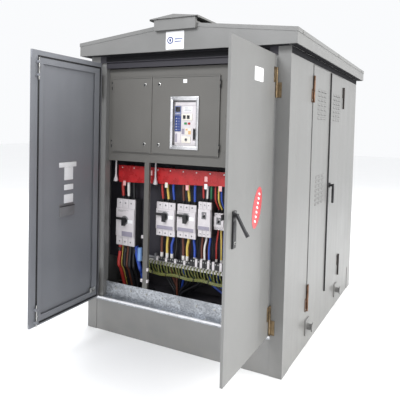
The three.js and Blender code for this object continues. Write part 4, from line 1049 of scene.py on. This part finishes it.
def rotary_front(body, number, low, high, face, top):
    """The collar of a rotary handle, a blank rating plate and three lines for its print."""
    width = high.x - low.x
    handle = sum(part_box(f"breaker_handle_{number}"), Vector()) / 2
    plate = (high.x - width * 0.34, high.x - width * 0.08)
    body.block(plate, around(face, 0.001), (handle.z - 0.012, handle.z + 0.016), PAPER, 0.0006)
    for k in range(3):
        z = top - 0.016 - k * 0.006
        line = (low.x + width * 0.12, low.x + width * (0.7 - 0.15 * k))
        body.block(line, (face - 0.0006, face + 0.001), (z, z + 0.002), GREY, 0.0002)
    collar = (low.x + width / 2, face - 0.0002, JOINTS[f"breaker_{number}_switch"]["pos_m"][2])
    body.lathe(collar, REARWARD, [(0, width * 0.20), (0.001, width * 0.21)], GREY, 32)


def pole_ends(body, low, high, shoulder, step):
    """At both ends of each pole a terminal cover, its screw and a lug slot, and the grooves between."""
    width = high.x - low.x
    for x in (low.x + width * share for share in POLE_SHARES):
        for z, way in ((low.z, 1), (high.z, -1)):
            middle = z + way * step * 0.42
            cover = (shoulder - 0.0012, shoulder + 0.001)
            body.block(around(x, width * 0.10), cover, around(middle, step * 0.26), WHITE, 0.001)
            body.screw(x, cover[0], middle, min(0.007, width * 0.045), GREY, 0.001, 16)
            lug = (shoulder + 0.012, shoulder + 0.040)
            body.block(around(x, width * 0.085), lug, (z - way * 0.003, z + way * 0.001), BLACK, 0.0005)
    for x in (low.x + width / 3 + 0.0015, high.x - width / 3 - 0.0015):
        for z in ((low.z + 0.002, low.z + step - 0.004), (high.z - step + 0.004, high.z - 0.002)):
            body.block(around(x, 0.0012), (shoulder - 0.0006, shoulder + 0.001), z, GREY, 0.0003)


def moulded_breaker(number):
    """A moulded-case breaker: light stepped cover, a near-black rear part painted as shade on its sides,
    terminals, rating band and front.
    """
    low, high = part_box(f"outgoing_breaker_{number}")
    width, height = high.x - low.x, high.z - low.z
    face, shoulder = low.y, low.y + SHOULDER
    cover = shoulder + COVER_DEPTH
    step = 0.2 * height
    raised = (low.z + step, high.z - step)
    body = Piece(f"moulded_case_breaker_{number}")
    body.block((low.x, high.x), (shoulder, cover), (low.z, high.z), WHITE, 0.003)
    # the near-black rear part paints the shade on the breaker's sides
    base = [(low[k] + 0.001, high[k] - 0.001) for k in (0, 2)]
    body.block(base[0], (cover - 0.002, high.y), base[1], DARK_PLASTIC_AND_SHADE, 0.002)
    if number in ROTARY:
        body.block((low.x + 0.002, high.x - 0.002), (face, shoulder + 0.004), raised, WHITE, 0.003)
        rotary_front(body, number, low, high, face, raised[1])
    else:
        toggle_surround(body, number, low, high, face, shoulder, raised)
    if number in BAND_FROM:
        body.block(
            (low.x + width * BAND_FROM[number], high.x - width * 0.08), (face - 0.0014, face + 0.001),
            (low.z + height * 0.20 + 0.002, low.z + height * 0.31), LAVENDER, 0.001,
        )
    pole_ends(body, low, high, shoulder, step)
    body.done("breaker_plastic", "enclosure", f"outgoing_breaker_{number}")


UPPER_PHASES = {
    1: ("red", "white", "black"), 2: ("red", "yellow", "blue"), 3: ("brown", "yellow", "blue"),
    4: ("red", "white", "green"), 5: ("red", "yellow", "blue"),
}
LOWER_PHASES = {
    2: ("brown", "yellow", "blue"), 3: ("brown", "yellow", "blue"), 4: ("brown", "white", "blue"),
    5: ("red", "yellow", "blue"),
}
CABLE_RADIUS = {1: 0.0125, 2: 0.0105, 3: 0.0105, 4: 0.0085, 5: 0.007}
CABLE_PLANE_BEHIND = 0.052
LUG_HEIGHT = 0.655
WIRING_SEED = 7


def phase_conductors(number, random_source):
    """Upper droppers from the busbars and lower tails to the terminal row, phase by phase."""
    low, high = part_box(f"outgoing_breaker_{number}")
    cover_low, cover_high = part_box("busbar_cover")
    width = high.x - low.x
    radius = CABLE_RADIUS[number]
    plane = low.y + CABLE_PLANE_BEHIND
    behind = cover_low.y + 0.030
    half_way = (low.z + LUG_HEIGHT) / 2
    wires = Piece(f"phase_conductors_{number}")
    for pole, share in enumerate(POLE_SHARES):
        x = low.x + width * share
        top_x = x + random_source.uniform(-0.006, 0.006)
        wires.tube([
            (x, plane, high.z + 0.0005), (x, plane, high.z + 0.03), (top_x, behind, high.z + 0.11),
            (top_x, behind + 0.004, cover_high.z - 0.04),
        ], radius, CABLE[UPPER_PHASES[number][pole]], 12)
        wires.rod((x, plane, high.z), UPWARD, 0.022, radius * 1.15, CABLE["black"], 14)
        foot_x = x + random_source.uniform(-0.012, 0.012)
        if number == 1:
            continue
        wires.tube([
            (x, plane, low.z - 0.0005), (x, plane, low.z - 0.03), (foot_x, plane - 0.006, half_way),
            (foot_x, plane - 0.002, LUG_HEIGHT),
        ], radius, CABLE[LOWER_PHASES[number][pole]], 12)
        sleeve = (foot_x, plane - 0.002, LUG_HEIGHT - 0.034)
        wires.rod(sleeve, UPWARD, 0.042, radius * 1.22, CABLE["white"], 14)
        palm = (LUG_HEIGHT - 0.062, LUG_HEIGHT - 0.03)
        wires.block(around(foot_x, radius), (plane - 0.006, plane + 0.002), palm, TIN, 0.001)
    if number != 1:
        for k, colour in enumerate(("black", "brown", "black")):
            x = low.x + width * (0.06 + 0.40 * k)
            wires.tube([
                (x, plane + 0.022, low.z + 0.02), (x + 0.006, plane + 0.026, half_way),
                (x - 0.004, plane + 0.022, LUG_HEIGHT - 0.02),
            ], radius * 0.8, CABLE[colour], 10)
    wires.done("black_plastic")


# x, colour, radius, sideways shift on the way down
MAIN_TAILS = (
    (-0.672, "red", 0.0150, -0.004), (-0.646, "yellow", 0.0032, 0.0), (-0.624, "black", 0.014, 0.01),
    (-0.592, "brown", 0.009, 0.0), (-0.566, "black", 0.015, 0.0), (-0.534, "black", 0.013, 0.01),
    (-0.505, "blue", 0.016, 0.045),
)


def main_outgoing_tails():
    """Heavy cables below the large breaker, which drop through the floor."""
    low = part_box("outgoing_breaker_1")[0]
    floor_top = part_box("floor_plate")[1].z
    plane = low.y + CABLE_PLANE_BEHIND
    tails = Piece("main_outgoing_cables")
    for x, colour, radius, shift in MAIN_TAILS:
        foot = x + shift
        tails.tube([
            (x, plane, low.z - 0.0005), (x, plane, low.z - 0.05), (foot, plane - 0.012, low.z - 0.17),
            (foot, plane + 0.02, 0.45), (foot * 0.98, plane + 0.07, floor_top + 0.001),
        ], radius, CABLE[colour], 12)
    tails.rod((-0.462, plane - 0.012, 0.560), UPWARD, 0.110, 0.0195, CABLE["light_blue"], 16, 0.004)
    for x in (-0.675, -0.612, -0.520):
        tails.rod((x, plane - 0.006, 0.616), UPWARD, 0.030, 0.0172, CABLE["black"], 14)
    tails.done("black_plastic")


def feeder_cables(random_source):
    """Feeder cables from the terminal row down through the two holes in the floor."""
    floor_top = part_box("floor_plate")[1].z
    bar_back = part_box("earth_bar")[1].y
    feeders = Piece("feeder_cables")
    for x in spaced(-0.285, 0.112, 9):
        for strand in range(3):
            start = x + strand * 0.026 + random_source.uniform(-0.004, 0.004)
            finish = CABLE[random_source.choice(("black", "black", "black", "blue", "brown"))]
            hole = -0.15 if start < 0.15 else 0.45
            foot = hole + (start - hole) * 0.22
            depth = bar_back + 0.022 + 0.012 * strand
            feeders.tube([
                (start, depth, LUG_HEIGHT - 0.05), (start, depth, 0.56), (start * 0.96, depth + 0.01, 0.44),
                (foot, -0.86 + 0.02 * strand, 0.33), (foot, -0.845 + 0.02 * strand, floor_top + 0.001),
            ], 0.0095, finish, 10)
    feeders.done("black_plastic")


TERMINAL_PITCH = 0.021
TALL_TERMINALS_FROM = 0.02


def terminal_row():
    """Terminal blocks on a rail, black and white by turns, between two end stops."""
    row = Piece("terminal_row")
    row.block((-0.40, 0.684), (-0.958, -0.953), (0.606, 0.622), GREY, 0.001)
    for k, x in enumerate(spaced(-0.29, TERMINAL_PITCH, 46)):
        is_tall = x > TALL_TERMINALS_FROM
        is_black = (k * 7) % 5 < 3 if is_tall else k % 4 != 0
        tall = 0.060 if is_tall else 0.030
        across = (x, x + TERMINAL_PITCH - 0.0012)
        row.block(across, (-0.978, -0.958), (0.598, 0.598 + tall), BLACK if is_black else WHITE, 0.0012)
        row.screw(x + TERMINAL_PITCH / 2 - 0.0006, -0.978, 0.600 + tall * 0.7, 0.0045, BRIGHT_ZINC, 0.0012)
    for x in (-0.305, 0.679):
        row.block((x, x + 0.010), (-0.980, -0.953), (0.596, 0.650), GREY, 0.001)
    row.done("breaker_plastic")


def earth_wires(random_source):
    """Green-and-yellow earth wires, from the bar down into a tied bundle."""
    bar_low, bar_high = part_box("earth_bar")
    wires = Piece("earth_wires")
    bundle_y, bundle_z = bar_low.y - 0.012, bar_low.z - 0.062
    for k, x in enumerate(spaced(-0.36, 0.0278, 36)):
        lean = random_source.uniform(0.010, 0.026)
        strand = k % 3 * 0.010
        wires.tube([
            (x, bar_low.y - 0.006, bar_high.z - 0.012), (x, bar_low.y - 0.020, bar_high.z - 0.026),
            (x + lean * 0.3, bar_low.y - 0.020, bar_low.z - 0.02),
            (x + lean, bundle_y + strand - 0.006, bundle_z - 0.001 * (k % 4)),
        ], 0.0048, EARTH_WIRE, 8, 5)
        wires.bolt((x, bar_low.y - 0.0004, bar_high.z - 0.011), FRONTWARD, 0.0065, BRIGHT_ZINC)
    ties = spaced(0, 0.1275, 9)
    for turn in ring_angles(5):
        y, z = bundle_y + 0.008 * math.cos(turn), bundle_z + 0.008 * math.sin(turn)
        wires.tube([
            (-0.38 + x, y + random_source.uniform(-0.002, 0.002), z - 0.010 * (k % 2))
            for k, x in enumerate(ties)
        ], 0.0052, EARTH_WIRE, 8, 6)
    for x in ties[:-1]:
        wires.rod((-0.33 + x, bundle_y, bundle_z - 0.005), (1, 0, 0), 0.005, 0.0185, BLACK, 20)
    wires.done("copper")


# distance up, radius
STAND_OFF = (
    (0, 0.017), (0.004, 0.019), (0.022, 0.0165), (0.040, 0.010), (0.060, 0.0075), (0.150, 0.0065),
    (0.178, 0.0065),
)
CABLE_TAGS = (
    (-0.612, 1.197, PINK), (-0.202, 1.212, IVORY), (-0.012, 1.206, PINK), (0.150, 1.228, PAPER),
    (0.272, 1.222, PINK), (0.150, 1.285, PINK), (-0.35, 1.30, PINK),
)


def busbar_supports():
    """White stand-off insulators before the ends of the red cover, tags on its edge and its screws."""
    low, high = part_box("busbar_cover")
    supports = Piece("busbar_supports")
    y = low.y - 0.022
    for x in (-0.686, -0.293):
        supports.lathe((x, y, 1.212), UPWARD, STAND_OFF, WHITE, 20)
        supports.block(around(x, 0.024), around(y, 0.016), (1.203, 1.2115), BLACK, 0.001)
    supports.done("breaker_plastic")
    tags = Piece("cable_tags")
    for x, z, finish in CABLE_TAGS:
        depth = (low.y - 0.0030, low.y - 0.0010)
        tags.plate(around(x, 0.013), around(z, 0.020), depth, finish, 0.003, 0.0005)
    for x in spaced(low.x + 0.04, (high.x - low.x - 0.08) / 11, 12):
        tags.screw(x, low.y - 0.0002, high.z - 0.018, 0.006, WHITE, 0.003, 14)
    tags.done("red_plastic")


MODULE_PITCH = 0.0182


def auxiliary_row():
    """Modular breakers on a rail in the bay's right part, with a wiring duct above."""
    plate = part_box("breaker_plate")[0].y
    front, near = plate - 0.060, plate - 0.0005
    across = (0.345, 0.665)
    row = Piece("auxiliary_row")
    for z in (0.905, 0.935):
        row.block(across, (plate - 0.0085, near), around(z, 0.004), BRIGHT_ZINC, 0.001)
    row.block(across, (plate - 0.0020, near), (0.9085, 0.9315), BRIGHT_ZINC, 0.0003)
    for k, x in enumerate(spaced(across[0] + 0.012, MODULE_PITCH, 16)):
        middle = x + 0.0086
        row.block((x, x + 0.0172), (front, plate - 0.0088), (0.880, 0.962), WHITE, 0.001)
        row.block(around(middle, 0.0081), (front - 0.014, front + 0.001), (0.898, 0.944), WHITE, 0.001)
        lever = BLACK if k % 4 else STEEL_BLUE
        row.block((x + 0.004, x + 0.013), (front - 0.022, front - 0.013), (0.922, 0.934), lever, 0.001)
        row.block((x + 0.003, x + 0.014), (front - 0.0148, front - 0.0138), (0.903, 0.914), PAPER, 0.0002)
        for z in (0.886, 0.956):
            row.screw(middle, front, z, 0.003, BRIGHT_ZINC, 0.0008)
        row.tube([
            (middle, front + 0.020, 0.880), (middle, front + 0.014, 0.840), (x + 0.004, front + 0.014, 0.70),
            (x + 0.006, front + 0.016, 0.665),
        ], 0.0032, CABLE[("black", "brown", "blue", "black")[k % 4]], 8, 5)
    row.block(across, (plate - 0.050, near), (1.02, 1.075), GREY, 0.002)
    # dark strips in the duct's slots: painted shade
    for x in spaced(across[0] + 0.008, 0.0119, 26):
        row.block((x, x + 0.006), (plate - 0.0512, plate - 0.0495), (1.028, 1.067), DARK_PLASTIC_AND_SHADE, 0.0003)
    row.done("breaker_plastic")


METER_WIRES = ("red", "yellow", "blue", "black")


def meter_compartment_contents():
    """An energy meter, its test block and wiring on a plate behind the left small door."""
    low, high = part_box("meter_compartment_door")
    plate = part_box("inner_frame")[0].y + 0.134
    middle = (low.x + high.x) / 2
    contents = Piece("meter_compartment_contents")
    backing = [(low[k] + 0.022, high[k] - 0.022) for k in (0, 2)]
    contents.block(backing[0], (plate, plate + 0.003), backing[1], ZINC, 0.001)
    for half, proud, behind, z, finish, edge in (
        (0.088, 0.060, 0.0, (1.745, 1.965), WHITE, 0.006),
        (0.070, 0.066, 0.058, (1.830, 1.950), GREY, 0.003),
        (0.052, 0.0672, 0.064, (1.890, 1.935), WINDOW, 0.001),
        (0.080, 0.072, 0.001, (1.690, 1.752), DARK_PLASTIC_AND_SHADE, 0.004),
    ):
        contents.block(around(middle, half), (plate - proud, plate - behind), z, finish, edge)
    for x in (-0.045, 0.0, 0.045):
        contents.screw(middle + x, plate - 0.066, 1.855, 0.007, STEEL_BLUE, 0.003, 18)
        contents.screw(middle + x * 1.4, plate - 0.072, 1.72, 0.005, BRIGHT_ZINC, 0.002, 16)
    for k, x in enumerate(spaced(middle - 0.098, 0.028, 8)):
        contents.block(around(x, 0.012), (plate - 0.045, plate), (1.545, 1.605), (BLACK, GREY)[k % 2], 0.002)
        contents.screw(x, plate - 0.045, 1.585, 0.006, BRIGHT_ZINC, 0.002, 14)
        top_x = middle + (x - middle) * 0.62
        for path in (
            [(x, plate - 0.025, 1.605), (x, plate - 0.026, 1.630), (top_x, plate - 0.030, 1.665),
             (top_x, plate - 0.030, 1.692)],
            [(x, plate - 0.025, 1.545), (x, plate - 0.024, 1.520), (x * 0.99, plate - 0.018, low.z + 0.024)],
        ):
            contents.tube(path, 0.0030, CABLE[METER_WIRES[k % 4]], 8, 5)
    contents.done("breaker_plastic")


def frame_fasteners():
    """Clips on the mullion, bolts in the sill, screws round the fixed cover, the sill's lip in near-white
    metal as a painted highlight.
    """
    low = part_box("inner_frame")[0]
    sill_low, sill_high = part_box("front_sill")
    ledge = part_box("base_frame")[1].z + 0.0023
    clips = Piece("mullion_clips")
    for x, z in ((-0.350, 0.800), (-0.296, 0.545), (-0.350, 0.452), (-0.296, 0.452)):
        clips.block(around(x, 0.008), (low.y - 0.006, low.y + 0.012), around(z, 0.012), WHITE, 0.002)
        clips.screw(x, low.y - 0.006, z, 0.004, BRIGHT_ZINC)
    clips.done("breaker_plastic")
    bolts = Piece("sill_and_frame_bolts")
    for x in spaced(-0.62, 0.124, 11):
        bolts.bolt((x, sill_low.y + 0.028, ledge + 0.0002), UPWARD, 0.007, BRIGHT_ZINC)
    for x in spaced(-0.60, 0.15, 9):
        bolts.bolt((x, low.y - 0.0002, 0.345), FRONTWARD, 0.008, BRIGHT_ZINC)
    for x in (0.345, 0.655):
        for z in (1.50, 1.76, 2.02):
            bolts.screw(x, low.y - 0.0001, z, 0.0065, INNER_PAINT, 0.002, 18)
    bolts.done("galvanised")
    # the sill's lip, near-white as a painted highlight
    trim = Piece("sill_edge_trim")
    outer, inner, back = sill_low.y - 0.0016, sill_low.y - 0.0003, sill_low.y + 0.010
    trim.prism([
        (outer, ledge - 0.012), (inner, ledge - 0.012), (inner, ledge + 0.0003),
        (back, ledge + 0.0003), (back, ledge + 0.0016), (outer, ledge + 0.0016),
    ], "x", sill_low.x + 0.004, sill_high.x - 0.004, EDGE_ZINC_HIGHLIGHT, 0.0004)
    trim.done("galvanised")


# ------------------------------------------------------------------ roof and outside

EAVE_SLOT_PITCH = 0.030
BEAD_PROFILE = ((0.0005, 0.0003), (0.0005, 0.008), (0.008, 0.012), (0.026, 0.006), (0.030, 0.0003))


def owner_plate(front):
    """A blank plate on the gable, with a plain round mark and two bars."""
    plate = Piece("owner_plate")
    plate.plate((-0.084, 0.068), (2.234, 2.364), (front - 0.0018, front - 0.0003), PAPER, 0.004)
    for half_u, half_v, far, near, finish in (
        (0.026, 0.026, 0.0024, 0.0017, NAVY), (0.017, 0.017, 0.0028, 0.0023, PAPER),
        (0.008, 0.012, 0.0032, 0.0027, NAVY),
    ):
        plate.prism(oval_outline(-0.046, 2.300, half_u, half_v, 0), "y", front - far, front - near, finish)
    for z, right in ((2.308, 0.056), (2.290, 0.048)):
        plate.block((-0.010, right), (front - 0.0024, front - 0.0017), around(z, 0.0045), STEEL_BLUE, 0.0004)
    plate.done("breaker_plastic")


def eave_shade_strip(name, axis, wall, way, half, z, slots, rows):
    """A near-black strip under the eaves with two rows of slot hoods, painted as the eaves' shade; the axis
    is the one it faces along.
    """
    shade_piece = Piece(name + "_eave_shade_strip")
    face = wall + way * GAP

    def strip(proud, along, up, edge):
        spans = ((face + way * proud[0], face + way * proud[1]), along)
        shade_piece.block(*(spans if axis == "x" else spans[::-1]), up, PAINTED_EAVE_SHADE, edge)

    strip((0, 0.0012), (-half, half), z, 0.0003)
    for along in slots:
        for low in rows:
            strip((0.0010, 0.0030), around(along, 0.011), (low, low + 0.004), 0.0006)
    shade_piece.done("floor_steel")


def roof_details():
    low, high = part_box("roof_fascia")
    owner_plate(low.y)
    # the eaves' underside, near-black as painted shade
    soffit = Piece("painted_eave_shade_soffit")
    z = (low.z - 0.0016, low.z - 0.0003)
    for side in (-1, 1):
        across = (side * 0.846, side * (high.x - 0.008))
        soffit.block(across, (low.y + 0.01, high.y - 0.01), z, PAINTED_EAVE_SHADE)
    for end, way in ((low.y, 1), (high.y, -1)):
        soffit.block((-0.840, 0.840), (end + way * 0.008, end + way * 0.068), z, PAINTED_EAVE_SHADE)
    soffit.done("floor_steel")
    across = spaced(-0.675, EAVE_SLOT_PITCH, 46)
    along = spaced(-1.11, EAVE_SLOT_PITCH, 75)
    front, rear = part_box("front_header")[0].y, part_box("rear_header")[1].y
    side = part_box("right_side_wall")[1].x
    # near-black strips on the headers and walls under the eaves: painted shade of the roof
    for name, axis, wall, way, half, z, slots, rows in (
        ("front", "y", front, -1, 0.690, (2.180, 2.2215), across, (2.190, 2.206)),
        ("rear", "y", rear, 1, 0.690, (2.180, 2.2215), across, (2.190, 2.206)),
        ("right", "x", side, 1, 1.146, (2.178, 2.2235), along, (2.188, 2.204)),
        ("left", "x", -side, -1, 1.146, (2.178, 2.2235), along, (2.188, 2.204)),
    ):
        eave_shade_strip(name, axis, wall, way, half, z, slots, rows)
    seams = Piece("roof_seams")
    cover_low, cover_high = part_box("roof_cover")
    up = (cover_low.z + 0.001, cover_low.z + 0.026)
    for side in (-1, 1):
        face = side * (cover_high.x + 0.0002)
        for y in (-0.02, -1.10, 1.10):
            seams.block((face, face + side * 0.0022), around(y, 0.020), up, PAINT, 0.0008)
    seams.done("enclosure_paint")


def side_meeting_seal():
    """The rubber bead on the edge of the rear side leaf, where the two side leaves meet."""
    leaf = SIDE_REAR
    seal = leaf.piece("side_meeting_seal")
    seal.prism([
        (leaf.x(leaf.reach - inset), leaf.face - proud) for inset, proud in BEAD_PROFILE
    ], "z", leaf.low + 0.004, leaf.high - 0.004, RUBBER, 0.001)
    seal.done("black_plastic", leaf.body)


# ------------------------------------------------------------------ behind the doors

SHEDS = [(z + rise, radius) for z in spaced(0.030, 0.036, 5)
         for rise, radius in ((0, 0.0435), (0.010, 0.068), (0.014, 0.066), (0.024, 0.0435))]
HIGH_BUSHING = [(0.0, 0.048), (0.012, 0.050)] + SHEDS
LOW_BUSHING = [
    (0, 0.040), (0.014, 0.042), (0.020, 0.031), (0.040, 0.031), (0.046, 0.044), (0.054, 0.031),
    (0.086, 0.030),
]


def transformer_details():
    """Bushings, thermometer pocket, filler, lid bolts and lifting eyes, and round rims on the fins."""
    low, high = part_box("transformer_tank")
    middle = (low.y + high.y) / 2
    top = high.z + 0.0123
    fittings = Piece("transformer_fittings")
    for x in (-0.26, 0.0, 0.26):
        fittings.lathe((x, middle + 0.13, top), UPWARD, HIGH_BUSHING, PORCELAIN, 28)
        fittings.rod((x, middle + 0.13, top + 0.2205), UPWARD, 0.020, 0.022, TIN)
    for x in (-0.3, -0.1, 0.1, 0.3):
        fittings.lathe((x, middle - 0.13, top), UPWARD, LOW_BUSHING, PORCELAIN, 24)
        fittings.bolt((x - 0.008, middle - 0.1365, top + 0.135), FRONTWARD, 0.009, BRIGHT_ZINC)
    fittings.rod((0.40, middle, top), UPWARD, 0.060, 0.028, TANK_PAINT)
    fittings.rod((0.40, middle, top + 0.060), UPWARD, 0.045, 0.040, WINDOW)
    fittings.rod((-0.42, middle + 0.05, top), UPWARD, 0.05, 0.022, BRASS)
    for x in spaced(-0.48, 0.06, 17):
        for side in (-1, 1):
            fittings.bolt((x, middle + side * 0.254, top), UPWARD, 0.007, BRIGHT_ZINC)
    for x in (-0.44, 0.44):
        for side in (-1, 1):
            fittings.tube([
                (x + 0.022 * math.cos(a), middle + side * 0.20, top + 0.024 + 0.024 * math.sin(a))
                for a in map(math.radians, spaced(-40, 20, 14))
            ], 0.006, TANK_PAINT, 10, 2)
    fittings.done("tank_paint")
    rims = Piece("radiator_fin_rims")
    places = [(x, y) for x in spaced(-0.45, 0.05, 19) for y in (low.y + 0.002, high.y - 0.002)]
    places += [(x, y) for y in spaced(middle - 0.2, 0.05, 9) for x in (low.x + 0.002, high.x - 0.002)]
    for x, y in places:
        rims.rod((x, y, 0.422), UPWARD, 0.856, 0.0055, TANK_PAINT, 10, 0.002)
    rims.done("tank_paint")


MV_COLOURS = ("red", "black", "brown")
MV_CABLE_PLANE = 0.93
CABLE_GLAND = [(0, 0.018), (0.02, 0.026), (0.12, 0.028), (0.16, 0.021)]


def switchgear_panel(panel, left, width, face):
    """One bay of the medium-voltage cabinet: two covers, a mimic plate with two switches, and buttons."""
    across = (left + 0.006, left + width - 0.006)
    plate, mimic = face + 0.004, face + 0.0055
    centre = left + width / 2
    for z in ((0.86, 1.30), (1.31, 1.672)):
        panel.block(across, (face, plate), z, CABINET_PAINT, 0.002)
    panel.block(around(centre, 0.11), (plate, mimic), (1.35, 1.62), WHITE, 0.001)
    line = (face + 0.0052, face + 0.0068)
    panel.block(around(centre, 0.003), line, (1.38, 1.60), BLACK, 0.0005)
    panel.block(around(centre, 0.05), line, (1.597, 1.603), BLACK, 0.0005)
    for z in (1.44, 1.54):
        panel.screw(centre, mimic, z, 0.026, GREY, 0.004, 24, REARWARD)
        panel.screw(centre, mimic + 0.004, z, 0.012, BLACK, 0.0015, 6, REARWARD)
        flag = (centre + 0.045, centre + 0.085)
        panel.block(flag, (face + 0.0052, face + 0.009), around(z, 0.012), WINDOW, 0.002)
    panel.screw(centre - 0.07, plate, 1.22, 0.024, WINDOW, 0.010, 24, REARWARD)
    for shift, finish in ((0.03, RED_BUTTON), (0.08, GREEN_BUTTON)):
        panel.screw(centre + shift, plate, 1.20, 0.014, finish, 0.006, 20, REARWARD)
    for z in (0.885, 1.275):
        for x in (left + 0.025, left + width - 0.025):
            panel.bolt((x, plate, z), REARWARD, 0.006, BRIGHT_ZINC)


def switchgear_details():
    low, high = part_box("mv_switchgear")
    panel = Piece("switchgear_front")
    third = (high.x - low.x) / 3
    for left in spaced(low.x, third, 3):
        switchgear_panel(panel, left, third, high.y + 0.0003)
    panel.done("switchgear_paint")
    cables = Piece("mv_cables")
    floor_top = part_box("floor_plate")[1].z
    for centre, hole in ((-0.30, -0.2), (0.0, 0.0), (0.30, 0.2)):
        for offset, colour in zip((-0.06, 0.0, 0.06), MV_COLOURS):
            x, foot = centre + offset, hole + offset * 0.45
            cables.tube([
                (x, MV_CABLE_PLANE, 0.800), (x, MV_CABLE_PLANE, 0.66), (x, MV_CABLE_PLANE - 0.005, 0.48),
                (foot, MV_CABLE_PLANE - 0.01, floor_top + 0.001),
            ], 0.017, CABLE[colour], 12)
            cables.lathe((x, MV_CABLE_PLANE, 0.640), UPWARD, CABLE_GLAND, RUBBER, 20)
    cables.done("black_plastic")


# ------------------------------------------------------------------ main
make_camera()
make_light()
dress_cad_nodes()
make_floor()
front_left_details()
front_right_details()
swing_handle_details()
side_and_rear_details()
paint_sky_tint_in_left_leaf()
roof_details()
side_meeting_seal()
small_door_furniture("meter_compartment_door", "meter_door", True)
small_door_furniture("main_breaker_door", "breaker_door", False)
breaker_door_details()
main_breaker_details()
wiring = random.Random(WIRING_SEED)
for number in range(1, 6):
    moulded_breaker(number)
    phase_conductors(number, wiring)
main_outgoing_tails()
feeder_cables(wiring)
terminal_row()
earth_wires(wiring)
busbar_supports()
auxiliary_row()
meter_compartment_contents()
frame_fasteners()
transformer_details()
switchgear_details()
